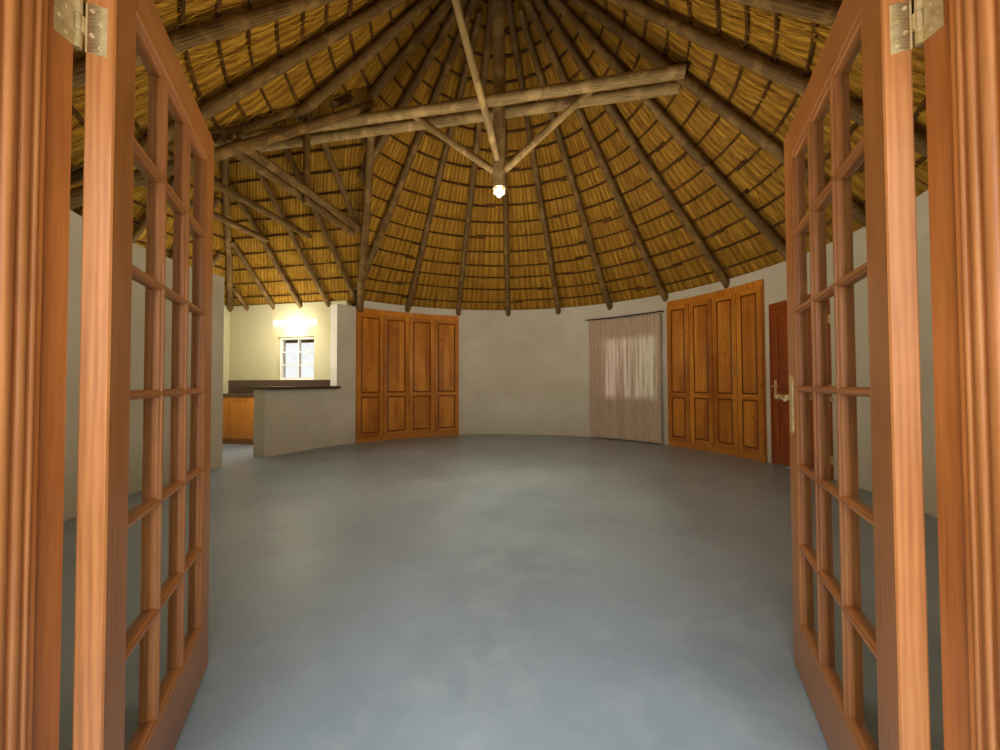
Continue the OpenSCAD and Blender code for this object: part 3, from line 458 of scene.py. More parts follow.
def makeScreed():
    material, tree, shader = newMaterial("floatedScreed", **{"Coat Weight": 0.2, "Coat Roughness": 0.25})
    place = mappedBy(tree, "Object")
    clouds = stained(tree, place, 0.9, 0.3, 0.72)
    scuffs = stained(tree, place, 7.0, 0.5, 0.78)
    skin = useGroup(tree, handLumps, Vector=place, Broad=1.6, Fine=35.0, Grit=0.08)
    colour = mixTone(tree, clouds, tone(144, 158, 166), tone(116, 129, 137))
    colour = mixTone(tree, times(tree, scuffs, 0.5), colour, tone(158, 166, 166))
    feed(shader, "Base Color", colour)
    feed(shader, "Roughness", maths(tree, "MULTIPLY_ADD", scuffs, 0.2, 0.36))
    setBump(tree, shader, skin["Height"], 0.25, 0.006)
    return material


# a finish with patches of a second tone
def makeWorn(name, finish, patch, tones, share=1.0, gloss=None, bump=None, lumps=None):
    material, tree, shader = newMaterial(name, **finish)
    place = mappedBy(tree, "Object")
    worn = stained(tree, place, *patch)
    feed(shader, "Base Color", mixTone(tree, times(tree, worn, share), *tones))
    if gloss:
        feed(shader, "Roughness", maths(tree, "MULTIPLY_ADD", worn, *gloss))
    if bump:
        height = useGroup(tree, handLumps, Vector=place, **lumps)["Height"] if lumps else worn
        setBump(tree, shader, height, *bump)
    return material


def makeCurtainCloth():
    material, tree, shader = newMaterial("curtainCloth", **{
        "Roughness": 0.85, "Sheen Weight": 0.25, "Sheen Roughness": 0.4, "Emission Strength": 0.3,
        "Subsurface Weight": 0.15, "Subsurface Scale": 0.02})
    cloth = mappedBy(tree, "UV")
    weave = useGroup(tree, clothWeave, Vector=cloth, Threads=900.0)
    feed(shader, "Base Color", mixTone(tree, weave["Mask"], tone(176, 152, 130), tone(212, 190, 166)))
    spread = put(tree, "SeparateXYZ", {"Vector": cloth}).outputs  # the window's daylight, in soft stripes
    folds = noisy(tree, stretched(tree, cloth, 11.0, 0.5, 1.0), 1.0, 2.0)
    lit = times(tree, between(tree, spread[1], 0.72, 0.86), between(tree, spread[1], 1.95, 1.84))
    wide = times(tree, between(tree, spread[0], 0.05, 0.2), between(tree, spread[0], 1.9, 1.72))
    lit = times(tree, times(tree, lit, wide), between(tree, folds, 0.36, 0.64))
    glow = mixTone(tree, between(tree, spread[0], 0.4, 1.5), tone(196, 206, 170), tone(226, 196, 180))
    feed(shader, "Emission Color", mixTone(tree, lit, (0, 0, 0, 1), glow))
    setBump(tree, shader, weave["Height"], 0.3, 0.0006)
    return material


def makeLit(name, colour, glow, strength):
    material, tree, shader = newMaterial(name, **{"Roughness": 0.3, "Emission Strength": strength})
    place = mappedBy(tree, "Object")
    veil = stained(tree, place, 40.0, 0.2, 0.9)
    feed(shader, "Base Color", mixTone(tree, veil, colour, scaled(colour, 0.92)))
    feed(shader, "Emission Color", mixTone(tree, veil, glow, scaled(glow, 0.96)))
    return material


screed, curtainCloth = makeScreed(), makeCurtainCloth()
mortar = makeWorn("ridgeMortar", {"Roughness": 0.9}, (3.0, 0.42, 0.66),
                  (tone(172, 166, 154), tone(124, 118, 106)), bump=(0.8, 0.02),
                  lumps={"Broad": 5.0, "Fine": 40.0, "Grit": 0.25})
brass = makeWorn("agedBrass", {"Metallic": 0.7}, (45.0, 0.42, 0.7),
                 (tone(238, 216, 160), tone(204, 176, 112)), gloss=(0.15, 0.34))
iron = makeWorn("blackIron", {"Metallic": 0.6}, (30.0, 0.5, 0.75),
                (tone(52, 46, 42), tone(92, 84, 76)), gloss=(-0.15, 0.5))
windowPaint = makeWorn("windowPaint", {"Roughness": 0.45}, (22.0, 0.6, 0.68),
                       (tone(226, 222, 208), tone(176, 164, 140)), share=0.4, bump=(0.2, 0.001))
glass = makeWorn("windowGlass", {
    "Transmission Weight": 1.0, "IOR": 1.02, "Roughness": 0.0, "Specular IOR Level": 0.5,
}, (9.0, 0.3, 0.8), ((0.96, 0.98, 0.97, 1), (0.88, 0.91, 0.9, 1)))
bulbGlass = makeLit("bulbGlass", tone(250, 240, 220), tone(255, 222, 160), 2.2)
# the dish over the bulbs gets a faint warm glow: painted light from the bulbs under it, the dish itself is no
# lamp
enamelGlow = makeLit("enamelDishGlow", tone(226, 206, 170), tone(255, 214, 160), 0.15)
tubeGlow = makeLit("tubeGlow", tone(244, 242, 230), tone(255, 250, 226), 5.0)

nodeFinish = {
    "floor_slab": screed, "kitchen_counter": counterWood, "left_jamb": jambWood, "right_jamb": jambWood,
    "door_head": headWood, "side_door_frame": darkDoorWood, "side_door_leaf": darkDoorWood,
    "window_frame": darkDoorWood, "window_glass": glass, "kitchen_window_frame": windowPaint,
    "kitchen_units": pine, "strip_light": tubeGlow, "curtain_rod": iron,
    "right_cupboard": pine, "left_cupboard": pine,
    "apex_cap": mortar, "ridge_cap": mortar, "jamb_hinges": brass, "left_leaf_glass": glass,
    "right_leaf_glass": glass, "left_leaf_hinges": brass, "right_leaf_hinges": brass,
    "wing_front_wall": kitchenPlaster, "wing_end_wall": kitchenPlaster, "wing_back_wall": kitchenPlaster,
}
for name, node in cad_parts.items():
    if name in nodeFinish or name.startswith(("wall_", "partition", "kitchen_half")):
        node.data.materials.clear()
        node.data.materials.append(nodeFinish.get(name, plaster))
print("finishes made")


# natural poles
def alongPath(path, lengths, s):
    k = 0
    while k < len(path) - 2 and lengths[k + 1] < s:
        k += 1
    span = lengths[k + 1] - lengths[k]
    a, b = path[k], path[k + 1]
    return a.lerp(b, (s - lengths[k]) / span if span > 0 else 0), (b - a).normalized()


def addPole(parts, path, thickStart, thickEnd, look, seed):
    chance = random.Random(seed)
    lengths = [0.0]
    for a, b in zip(path, path[1:]):
        lengths.append(lengths[-1] + (b - a).length)
    total = lengths[-1]
    rings, sides = max(2, round(total / look["step"])), look["sides"]
    swellings, sway = [], []
    for _ in range(int(total / look["knotGap"])):
        at, turn = chance.uniform(0.1, total - 0.1), chance.uniform(0, 6.28)
        swellings.append((at, turn, chance.uniform(0.5, 1) * look["knot"]))
    for _ in "ab":
        size, phase = chance.uniform(0.5, 1) * look["bend"] * min(1, total / 3), chance.uniform(0, 6.28)
        sway.append((size, phase, chance.uniform(1, 2.2)))
    base = len(parts["points"])
    shift = chance.uniform(0, 40)
    for k in range(rings + 1):
        s = total * k / rings
        centre, ahead = alongPath(path, lengths, s)
        up = upward if abs(ahead.z) < 0.9 else acrossX
        side = ahead.cross(up).normalized()
        lift = side.cross(ahead)
        f = s / total
        held = sin(pi * f)  # the ends stay where they bear
        for (size, phase, waves), way in zip(sway, (side, lift)):
            centre = centre + way * size * held * sin(phase + waves * pi * f)
        r = (thickStart + (thickEnd - thickStart) * f) / 2
        r *= 1 + look["wobble"] * noise.noise(Vector((s * 1.4, shift, 0)))
        for j in range(sides):
            a = 2 * pi * j / sides
            out = r * (1 + look["rough"] * noise.noise(Vector((cos(a) * 1.6, sin(a) * 1.6, s * 3.5 + shift))))
            for at, turn, size in swellings:
                if abs(s - at) < 0.12:
                    off = (a - turn + pi) % (2 * pi) - pi
                    out += size * exp(-((s - at) / 0.04) ** 2 - (off / 0.5) ** 2)
            parts["points"].append(centre + (lift * cos(a) + side * sin(a)) * out)
    for k in range(rings):
        for j in range(sides):
            m = (j + 1) % sides
            ids = (k * sides + j, k * sides + m, (k + 1) * sides + m, (k + 1) * sides + j)
            u0, u1 = (shift + (j + d) / sides * 6.28 * thickStart / 2 for d in (0, 1))
            v0, v1 = (shift + total * (k + d) / rings for d in (0, 1))
            addFace(parts, [base + i for i in ids], [(u0, v0), (u1, v0), (u1, v1), (u0, v1)])
    for ring, order in ((0, 1), (rings, -1)):
        ids = [base + ring * sides + j for j in range(sides)][::-order]
        addFace(parts, ids, [(shift + 0.01 * j, shift) for j in range(sides)])


rafterLook = {
    "step": 0.11, "sides": 12, "bend": 0.012, "wobble": 0.07, "rough": 0.07, "knotGap": 0.5, "knot": 0.009,
}
trussLook = dict(rafterLook, step=0.08, sides=16, wobble=0.06, knotGap=0.45, knot=0.01)
smoothLook = {"bend": 0, "wobble": 0, "rough": 0, "knotGap": 9, "knot": 0}  # drawn metal
lathLook = {
    "step": 0.16, "sides": 7, "bend": 0.010, "wobble": 0.2, "rough": 0.12, "knotGap": 0.7, "knot": 0.006,
}

poles = {
    "rafterD": 0.11, "rafterTip": 0.092, "eaveShort": 0.09, "valleyOff": 34.6, "heads": (0.1, 0.43),
    "wingD": 0.09, "wingTip": 0.08, "wingPitch": 0.6, "wingCount": 7, "wingFoot": 2.66,
    "valleyD": 0.12, "valleyTip": 0.102, "valleyDrop": 0.0566, "valleyPast": 0.15,
    "postD": 0.14, "postTip": 0.1344, "postFoot": 3.46, "postPast": 0.05,
    "tieD": 0.125, "tieTip": 0.117, "tieZ": 4.4, "tieY": 0.1075, "tieRight": -1.973, "tieLeft": 3.95,
    "braceD": 0.084, "braceTip": 0.076, "braceFoot": 3.61, "braceHead": (1.03, 4.42),
    "strutD": 0.08, "strutTip": 0.07, "strutAt": (5, 16), "strutHead": (1.5, 4.82),
    "collarD": 0.095, "collarZ": 3.6, "collarReach": 1.183, "collarXs": (2.4375, 2.6125, 3.4, 4.2),
    "hangerX": 2.525, "hangerD": 0.08, "hangerZs": (3.49, 4.7),
}
low, high = hut["layer"] / 2, hut["layer"] - poles["rafterTip"] / 2  # heights of a rafter's foot and head


def slopeSpot(t, h, x, side):  # on a side slope of the wing
    y, z = slope(ridgeZ, t, h)
    return wingSpot(x, side * y, z)


def endSpot(t, h, y):  # on its hipped end
    x, z = slope(ridgeZ, t, h)
    return wingSpot(hipX + x, y, z)


def coneRafters(first, last):  # each gives paths, thicknesses, looks and seeds
    for i in range(first, last + 1):
        off = min(i * rafterStep, 360 - i * rafterStep)
        turn = wingTurn + i * rafterStep
        foot = eaveR - poles["eaveShort"]
        if off < poles["valleyOff"]:
            foot = ridgeStart / (1 - sin(radians(off))) - 0.02
        path = [coneSpot(foot, low, turn), coneSpot(poles["heads"][i % 2], high, turn)]
        yield path, poles["rafterD"], poles["rafterTip"], rafterLook, 100 + i


def wingRafters():
    h = hut["layer"] - poles["wingD"] / 2
    for k in range(poles["wingCount"]):
        x = ridgeStart + 0.3 + k * poles["wingPitch"]
        foot = min(poles["wingFoot"], (x * x - ridgeStart ** 2) / (2 * ridgeStart) - 0.02)
        head = -0.04 if x < hipX else x - hipX + 0.03
        for side in (-1, 1):
            path = [slopeSpot(foot, h, x, side), slopeSpot(head, h, x, side)]
            yield path, poles["wingD"], poles["wingTip"], rafterLook, 200 + 2 * k + side


def hipRafters():
    h = hut["layer"] - poles["wingD"] / 2
    for side in (-1, 1):
        x, z = slope(ridgeZ, poles["wingFoot"], low)
        path = [wingSpot(hipX + x, side * x, z), wingSpot(hipX, 0, ridgeZ + low * root2)]
        yield path, poles["rafterD"], poles["rafterTip"], rafterLook, 230 + side
    for k in range(-2, 3):
        y = k * poles["wingPitch"]
        head = abs(y) + (poles["rafterD"] + poles["wingD"] - h) / root2
        path = [endSpot(poles["wingFoot"], h, y), endSpot(head, h, y)]
        yield path, poles["wingD"], poles["wingTip"], rafterLook, 240 + k


def valleyPoles():
    for side in (-1, 1):
        a = asin(wingHalf / roomR)
        head = Vector((ridgeStart, 0, ridgeZ - poles["valleyDrop"]))
        foot = Vector((roomR * cos(a), side * wingHalf, ridgeZ - wingHalf - poles["valleyDrop"]))
        foot = foot + (foot - head).normalized() * poles["valleyPast"]
        yield [wingSpot(*head), wingSpot(*foot)], poles["valleyTip"], poles["valleyD"], rafterLook, 250 + side


def kingPost():
    path = [upward * poles["postFoot"], upward * (apexZ + poles["postPast"])]
    yield path, poles["postD"], poles["postTip"], dict(trussLook, bend=0.003), 300


def tieBeams():
    for side in (-1, 1):
        path = [wingSpot(poles[end], side * poles["tieY"], poles["tieZ"]) for end in ("tieRight", "tieLeft")]
        yield path, poles["tieD"], poles["tieTip"], trussLook, 310 + side


def braces():
    foot, (out, z) = poles["braceFoot"], poles["braceHead"]
    for side in (-1, 1):
        path = [wingSpot(side * 0.06, 0, foot + 0.03), wingSpot(side * out, 0, z)]
        yield path, poles["braceD"], poles["braceTip"], trussLook, 320 + side
    out, z = poles["strutHead"]
    for i in poles["strutAt"]:
        turn = wingTurn + i * rafterStep
        path = [polar(0.06, turn, foot + 0.13), polar(out, turn, z)]
        yield path, poles["strutD"], poles["strutTip"], trussLook, 330 + i


def collarTies():
    reach, z = poles["collarReach"], poles["collarZ"]
    for k, x in enumerate(poles["collarXs"]):
        path = [wingSpot(x, -reach, z), wingSpot(x, reach, z)]
        yield path, poles["collarD"], poles["collarD"], rafterLook, 340 + k
    path = [wingSpot(poles["hangerX"], 0, z) for z in poles["hangerZs"]]
    yield path, poles["hangerD"], poles["hangerD"], dict(rafterLook, bend=0.004), 350


poleBark = {"rafter_pole": rafterBark, "truss_pole": trussBark, "lath_pole": lathBark}


def makePoles(name, runs, slot, node):
    parts = newParts()
    for run in runs:
        addPole(parts, *run)
    makePiece(name, parts, poleBark[slot], nodes=[node], sharp=80)


makePoles("frontRafterPoles", coneRafters(0, 10), "rafter_pole", "front_rafters")
makePoles("backRafterPoles", coneRafters(11, 21), "rafter_pole", "back_rafters")
makePoles("wingRafterPoles", wingRafters(), "rafter_pole", "wing_rafters")
makePoles("hipRafterPoles", hipRafters(), "rafter_pole", "hip_rafters")
makePoles("valleyRafterPoles", valleyPoles(), "rafter_pole", "valley_rafters")
makePoles("kingPostPole", kingPost(), "truss_pole", "king_post")
makePoles("tieBeamPoles", tieBeams(), "truss_pole", "tie_beams")
makePoles("bracePoles", braces(), "truss_pole", "braces")
makePoles("collarTiePoles", collarTies(), "rafter_pole", "collar_ties")
print("roof poles made")

laths = {
    "thick": 0.038, "rise": 0.1305, "pitch": 0.28 / root2, "lowest": 4.29, "highest": 0.16, "longest": 3.4,
    "lap": 0.16, "node": 0.16, "shortest": 0.5, "stagger": 0.012, "jitter": 0.006,
}
lathLevels = []
level = laths["lowest"]
while level > laths["highest"]:
    lathLevels.append(level)
    level -= laths["pitch"]


def lathRun(place, length, seed):  # place takes metres along and a shift up the slope
    chance = random.Random(seed)
    start, k = 0.0, 0
    while start < length - 0.05:
        end = min(length, start + chance.uniform(0.65, 1) * laths["longest"])
        if length - end < laths["shortest"]:
            end = length
        shift = laths["stagger"] * (-1) ** k + chance.uniform(-laths["jitter"], laths["jitter"])
        count = max(1, round((end - start) / laths["node"]))
        a = max(0, start - laths["lap"])
        path = [place(a + (end - a) * j / count, shift) for j in range(count + 1)]
        thick = laths["thick"] * chance.uniform(0.82, 1.0)
        yield path, thick, thick * 0.85, lathLook, seed * 31 + k
        start, k = end, k + 1


def coneLaths():
    rise = laths["rise"]
    for n, r in enumerate(lathLevels):
        skip, radius = valleyTurn(r, rise), r + rise / root2
        yield from lathRun(lambda s, shift: coneSpot(r + shift, rise, wingTurn + skip + degrees(s / radius)),
                           radians(360 - 2 * skip) * radius, 400 + n)


def wingLaths():
    rise = laths["rise"]
    for n, r in enumerate(lathLevels):
        t = r - ridgeStart
        if t < 0.06:
            continue
        y, radius = t + rise / root2, r + rise / root2
        x0 = sqrt(radius * radius - y * y) + 0.02
        for side in (-1, 1):
            yield from lathRun(lambda s, shift: slopeSpot(t + shift, rise, x0 + s, side), hipX + y - x0,
                               450 + 3 * n + side)
        yield from lathRun(lambda s, shift: endSpot(t + shift, rise, s - y + 0.02), 2 * y - 0.04, 540 + n)


makePoles("coneLathPoles", coneLaths(), "lath_pole", "cone_laths")
makePoles("wingLathPoles", wingLaths(), "lath_pole", "wing_laths")
print("laths made")


# thatch
thatch = {
    "capR": 0.2, "sag": 0.014, "lump": 0.012, "roofLump": 0.022, "roomStraws": 26000, "wingStraws": 9000,
    "eaveStraws": 9000, "roofStraws": 16000, "edge": 0.01, "overEdge": 0.1, "ridgeBack": 0.23,
    "roomStem": ((0.12, 0.3), (0.003, 0.007)), "eaveStem": ((0.10, 0.17), (0.004, 0.009)),
    "roofStem": ((0.15, 0.4), (0.005, 0.010)),
}
edgeProfile = [(eaveR - thatch["edge"], underThatch), (eaveR - 0.002, 0.19), (eaveR, 0.25),
               (eaveR - 0.006, 0.29), (eaveR - 0.022, 0.315), (eaveR - 0.05, overThatch)]


def ruffle(spot, size, amount):
    return amount * (noise.noise(spot * size) + 0.5 * noise.noise(spot * size * 2.7))


def sagAt(t):  # the straw swells a little between the laths
    f = (laths["lowest"] - t) / laths["pitch"]
    return thatch["sag"] * abs(sin(pi * f)) ** 0.8


def profileAt(rows, f):
    k = min(int(f * (len(rows) - 1)), len(rows) - 2)
    g = f * (len(rows) - 1) - k
    return tuple(rows[k][i] + (rows[k + 1][i] - rows[k][i]) * g for i in (0, 1))


def underRows(top, bottom, pitch):
    count = round((bottom - top) / pitch)
    return [(top + (bottom - top) * k / count, underThatch) for k in range(count + 1)]


def overRows(top):  # from the eave's rounded edge up to the top
    rows = [(t, overThatch) for t, _ in underRows(top, eaveR - thatch["overEdge"], 0.075)]
    return edgeProfile + rows[::-1]


def coneSheet(rows, cols, lift):
    parts = newParts()

    def across(i, j):
        t, h = profileAt(rows, j)
        skip = valleyTurn(t, h)
        return t, h, skip + i * (360 - 2 * skip)

    def place(i, j):
        t, h, turn = across(i, j)
        turn += wingTurn
        return coneSpot(t, h + lift(coneSpot(t, h, turn), t), turn)

    def spread(i, j):
        t, h, turn = across(i, j)
        return radians(turn) * 3.2, t * root2 + h

    addGrid(parts, len(rows) - 1, cols, place, spread)
    return parts


def wingSheet(rows, cols, lift, topT):
    parts = newParts()
    shifted = [(max(t - ridgeStart, topT), h) for t, h in rows]

    def upSlope(j):
        t, h = profileAt(shifted, j)
        return t * root2 + h

    for side in (-1, 1):
        def place(i, j):
            t, h = profileAt(shifted, j)
            y = t + h / root2
            r = t + ridgeStart + h / root2
            x0 = sqrt(max(r * r - y * y, 0))
            x = x0 - 0.03 + i * (hipX + y - x0 + 0.03)
            return slopeSpot(t, h + lift(slopeSpot(t, h, x, side), t + ridgeStart), x, side)
        addGrid(parts, len(rows) - 1, cols, place, lambda i, j: (i * 4.2 + side, upSlope(j)))

    def placeEnd(i, j):
        t, h = profileAt(shifted, j)
        y = (2 * i - 1) * (t + h / root2)
        return endSpot(t, h + lift(endSpot(t, h, y), t + ridgeStart), y)
    addGrid(parts, len(rows) - 1, cols, placeEnd, lambda i, j: (i * 5 + 7, upSlope(j)))
    return parts


def roomLift(spot, t):
    return ruffle(spot, 6, thatch["lump"] * 0.5) - sagAt(t)


def roofLift(spot, t):
    return ruffle(spot, 1.3, thatch["roofLump"] * 0.6) + ruffle(spot, 9, 0.004) - 0.012


wingTop, wingBack = -underThatch / root2, -thatch["ridgeBack"]
lining = coneSheet(underRows(thatch["capR"], eaveR - thatch["edge"], 0.045), 560, roomLift)
makePiece("strawLining", lining, roomStraw, sharp=80)
lining = wingSheet(underRows(ridgeStart + wingTop, eaveR - thatch["edge"], 0.05), 70, roomLift, wingTop)
makePiece("wingStrawLining", lining, roomStraw, sharp=80)
coneSides = ("front_left", "front_right", "right", "back_right", "back_left", "left")
makePiece("coneThatch", coneSheet(overRows(0.13), 460, roofLift), roofStraw,
          nodes=["thatch_" + side for side in coneSides], sharp=80)
wingRoof = wingSheet(overRows(ridgeStart + wingBack), 80, roofLift, wingBack)
makePiece("wingThatch", wingRoof, roofStraw,
          nodes=["thatch_wing_" + side for side in ("front", "back", "end")], sharp=80)
print("thatch made")


def addStraw(parts, root, way, across, stem, chance):
    base = len(parts["points"])
    length, width = chance.uniform(*stem[0]), chance.uniform(*stem[1])
    tip, foot, top = root + way * length, across * width / 2, across * width / 3
    parts["points"].extend([root - foot, root + foot, tip + top, tip - top])
    u, v = chance.uniform(0, 30), chance.uniform(0, 30)
    uvs = [(u, v), (u + width, v), (u + width, v + length), (u, v + length)]
    addFace(parts, [base + k for k in range(4)], uvs)


def scatterRoomStraws(count, pick, seed):  # loose stems that hang out of the underside
    parts, chance = newParts(), random.Random(seed)
    for _ in range(count):
        spot, down, across, out = pick(chance)
        yaw = chance.gauss(0, 0.16)
        way = (down * cos(yaw) + across * sin(yaw) + out * chance.uniform(0.01, 0.09)).normalized()
        side = way.cross(out).normalized()
        side = (side * cos(0.5) + out * sin(chance.uniform(-0.9, 0.9))).normalized()
        addStraw(parts, spot + out * chance.uniform(0.0, 0.008), way, side, thatch["roomStem"], chance)
    return parts


def pickCone(chance):
    t = sqrt(chance.uniform(0.35 ** 2, (eaveR - 0.2) ** 2))
    skip = valleyTurn(t, underThatch)
    turn = wingTurn + skip + chance.uniform(0, 360 - 2 * skip)
    flat = polar(1, turn, 0)
    spot, across = coneSpot(t, underThatch - sagAt(t) - 0.004, turn), polar(1, turn + 90, 0)
    return spot, (flat - upward).normalized(), across, -(flat + upward).normalized()


def onWing(chance, t, h, face, endShare, margin):  # at height h, kept to the slope's outline at height face
    y = t + face / root2
    if chance.random() < endShare:
        return endSpot(t, h, chance.uniform(-y, y)), wingSpot(1, 0, 0), wingSpot(0, 1, 0)
    side = chance.choice((-1, 1))
    r = t + ridgeStart + face / root2
    x = chance.uniform(sqrt(max(r * r - y * y, 0)) + margin, hipX + y)
    return slopeSpot(t, h, x, side), wingSpot(0, side, 0), wingSpot(1, 0, 0)


def pickWing(chance):
    t = sqrt(chance.uniform(0, 2.6 ** 2))
    h = underThatch - sagAt(t + ridgeStart) - 0.004
    spot, flat, across = onWing(chance, t, h, underThatch, 0.3, 0)
    return spot, (flat - upward).normalized(), across, -(flat + upward).normalized()


makePiece("looseRoomStraw", scatterRoomStraws(thatch["roomStraws"], pickCone, 61), roomStraw)
makePiece("looseWingStraw", scatterRoomStraws(thatch["wingStraws"], pickWing, 62), roomStraw)


def eaveSpots(chance):  # a place along the whole cut edge, with its way out
    skip = valleyTurn(eaveR, 0.24)
    coneShare = radians(360 - 2 * skip) * eaveR
    y = eaveR - ridgeStart + 0.17
    r = eaveR + 0.17
    x0 = sqrt(r * r - y * y)
    sideShare = hipX + y - x0
    s = chance.uniform(0, coneShare + 2 * sideShare + 2 * y)
    h = chance.uniform(underThatch + 0.01, overThatch - 0.03)
    t = eaveR - 0.1
    if s < coneShare:
        turn = wingTurn + skip + degrees(s / eaveR)
        return coneSpot(t, h, turn), polar(1, turn, 0), polar(1, turn + 90, 0)
    s -= coneShare
    for side in (-1, 1):
        if s < sideShare:
            return slopeSpot(t - ridgeStart, h, x0 + s, side), wingSpot(0, side, 0), wingSpot(1, 0, 0)
        s -= sideShare
    return endSpot(t - ridgeStart, h, s - y), wingSpot(1, 0, 0), wingSpot(0, 1, 0)


def eaveStraws():
    parts, chance = newParts(), random.Random(63)
    for _ in range(thatch["eaveStraws"]):
        spot, flat, across = eaveSpots(chance)
        way = (flat - upward * chance.uniform(0.9, 1.25) + across * chance.gauss(0, 0.12)).normalized()
        addStraw(parts, spot, way, across, thatch["eaveStem"], chance)
    return parts


def combedStraws():
    parts, chance = newParts(), random.Random(64)
    h = overThatch - 0.006
    for _ in range(thatch["roofStraws"]):
        if chance.random() < 0.68:
            t = sqrt(chance.uniform(0.45 ** 2, 4.2 ** 2))
            skip = valleyTurn(t, overThatch)
            turn = wingTurn + skip + chance.uniform(0, 360 - 2 * skip)
            spot, flat, across = coneSpot(t, h, turn), polar(1, turn, 0), polar(1, turn + 90, 0)
        else:
            t = sqrt(chance.uniform(0.1, 2.6 ** 2))
            spot, flat, across = onWing(chance, t, h, overThatch, 0.35, 0.05)
        out = (flat + upward).normalized()
        way = (flat - upward).normalized() + out * chance.uniform(-0.02, 0.05)
        way = (way + across * chance.gauss(0, 0.06)).normalized()
        addStraw(parts, spot, way, across, thatch["roofStem"], chance)
    return parts


makePiece("eaveStraw", eaveStraws(), roofStraw)
makePiece("combedStraw", combedStraws(), roofStraw)
print("loose straw made")


# French doors
frontDoor = {
    "pinX": 0.82, "frameY": -3.58887, "pinY": -3.58087, "openAngle": 116, "gap": 0.005,
    "leafW": 0.81, "leafH": 2.032, "leafT": 0.044, "leafZ": 0.11, "stile": 0.095, "topRail": 0.114,
    "bottomRail": 0.188, "cols": 3, "rows": 6,
    "handleX": 0.048, "handleZ": 1.13, "hingeZs": (0.31, 1.893),
}
barEdge = [(0.011, 0.008), (0.0095, 0.0125), (0.0062, 0.0152), (0.006, 0.018), (0.0045, 0.02)]
barOutline = [(0.011, -0.008)] + barEdge + [(-x, y) for x, y in barEdge[::-1]]
barOutline += [(-x, -y) for x, y in barEdge] + [(x, -y) for x, y in barEdge[:0:-1]]


def leafTurn(side):  # from the closed right-hand leaf to where it hangs
    mirror = Matrix.Diagonal((side, 1, 1, 1))
    hang = Matrix.Translation((side * frontDoor["pinX"], frontDoor["pinY"], 0))
    swing = Matrix.Rotation(radians(-side * frontDoor["openAngle"]), 4, "Z")
    back = frontDoor["frameY"] - frontDoor["pinY"] - frontDoor["leafT"] / 2
    inset = Matrix.Translation((-frontDoor["gap"], back, 0))
    return hang @ swing @ mirror @ inset


def leafParts(seed):
    parts, chance = newParts(), random.Random(seed)
    w, z, h, stile, thick = (frontDoor[k] for k in ("leafW", "leafZ", "leafH", "stile", "leafT"))
    top, bottom, cols, rows = (frontDoor[k] for k in ("topRail", "bottomRail", "cols", "rows"))
    lightW, lightH, foot = (w - 2 * stile) / cols, (h - top - bottom) / rows, z + bottom

    def member(outline, start, end, wide):
        addSweep(parts, outline, Vector(start), Vector(end), wide, acrossY, chance.uniform(0, 50))

    for x in (-stile / 2, stile / 2 - w):
        member(planed(stile, thick, 0.003), (x, 0, z), (x, 0, z + h), acrossX)
    for mid, tall in ((z + bottom / 2, bottom), (z + h - top / 2, top)):
        member(planed(tall, thick, 0.0025), (-stile, 0, mid), (stile - w, 0, mid), upward)
    for i in range(cols + 1):
        x = i * lightW + stile - w
        member(barOutline, (x, 0, foot - 0.005), (x, 0, foot + 0.005 + rows * lightH), acrossX)
    for j in range(rows + 1):
        level = foot + j * lightH
        member(barOutline, (-stile + 0.005, 0, level), (stile - w - 0.005, 0, level), upward)
    return parts


plateScrews = ((-0.036, 0.010), (-0.013, 0.022), (0.013, 0.010), (0.036, 0.022))  # up and in, staggered
screwHead = [(0.0001, 0.0012), (0.0016, 0.0012), (0.0018, 0.0004), (0.0032, 0.0010), (0.0042, 0.0002),
             (0.0044, -0.001)]


def addScrew(parts, spot, out):
    addTurned(parts, screwHead, spot, out, 12)


def hingeScrews():
    parts = newParts()
    for z in frontDoor["hingeZs"]:
        for dz, inset in plateScrews:
            addScrew(parts, Vector((0.0, frontDoor["leafT"] / 2 - 0.032 + inset, z + dz)), acrossX)
    return parts


leaves = ((-1, "left"), (1, "right"))
for side, name in leaves:
    makePiece(name + "LeafJoinery", leafParts(70 + side), mahogany, body=name + "_leaf",
              nodes=[name + "_leaf"], turn=leafTurn(side), sharp=35)
for side, name in leaves:
    makePiece(name + "LeafScrews", hingeScrews(), brass, body=name + "_leaf", turn=leafTurn(side))
jambScrews = newParts()
for side in (-1, 1):
    for z in frontDoor["hingeZs"]:
        for dz, inset in plateScrews:
            spot = Vector((side * frontDoor["pinX"], frontDoor["frameY"] - inset, z + dz))
            addScrew(jambScrews, spot, Vector((-side, 0, 0)))
makePiece("jambHingeScrews", jambScrews, brass)

lever = {
    "plateR": 0.021, "plateReach": 0.0915, "plateDrop": 0.027, "reach": 0.118, "stand": 0.042, "bow": 0.004,
    "thick": 0.0165, "tip": 0.0125, "screwZs": (0.056, -0.110), "keyZ": -0.07,
    "neck": [(0.0155, 0), (0.0155, 0.003), (0.0125, 0.006), (0.0085, 0.010), (0.0078, 0.034), (0.0095, 0.04),
             (0.0098, 0.046), (0.006, 0.05), (0.0, 0.051)],
    "key": [(0.0001, 0.0), (0.003, 0.0), (0.0042, 0.0012), (0.0050, 0.0006), (0.0052, -0.001)],
}


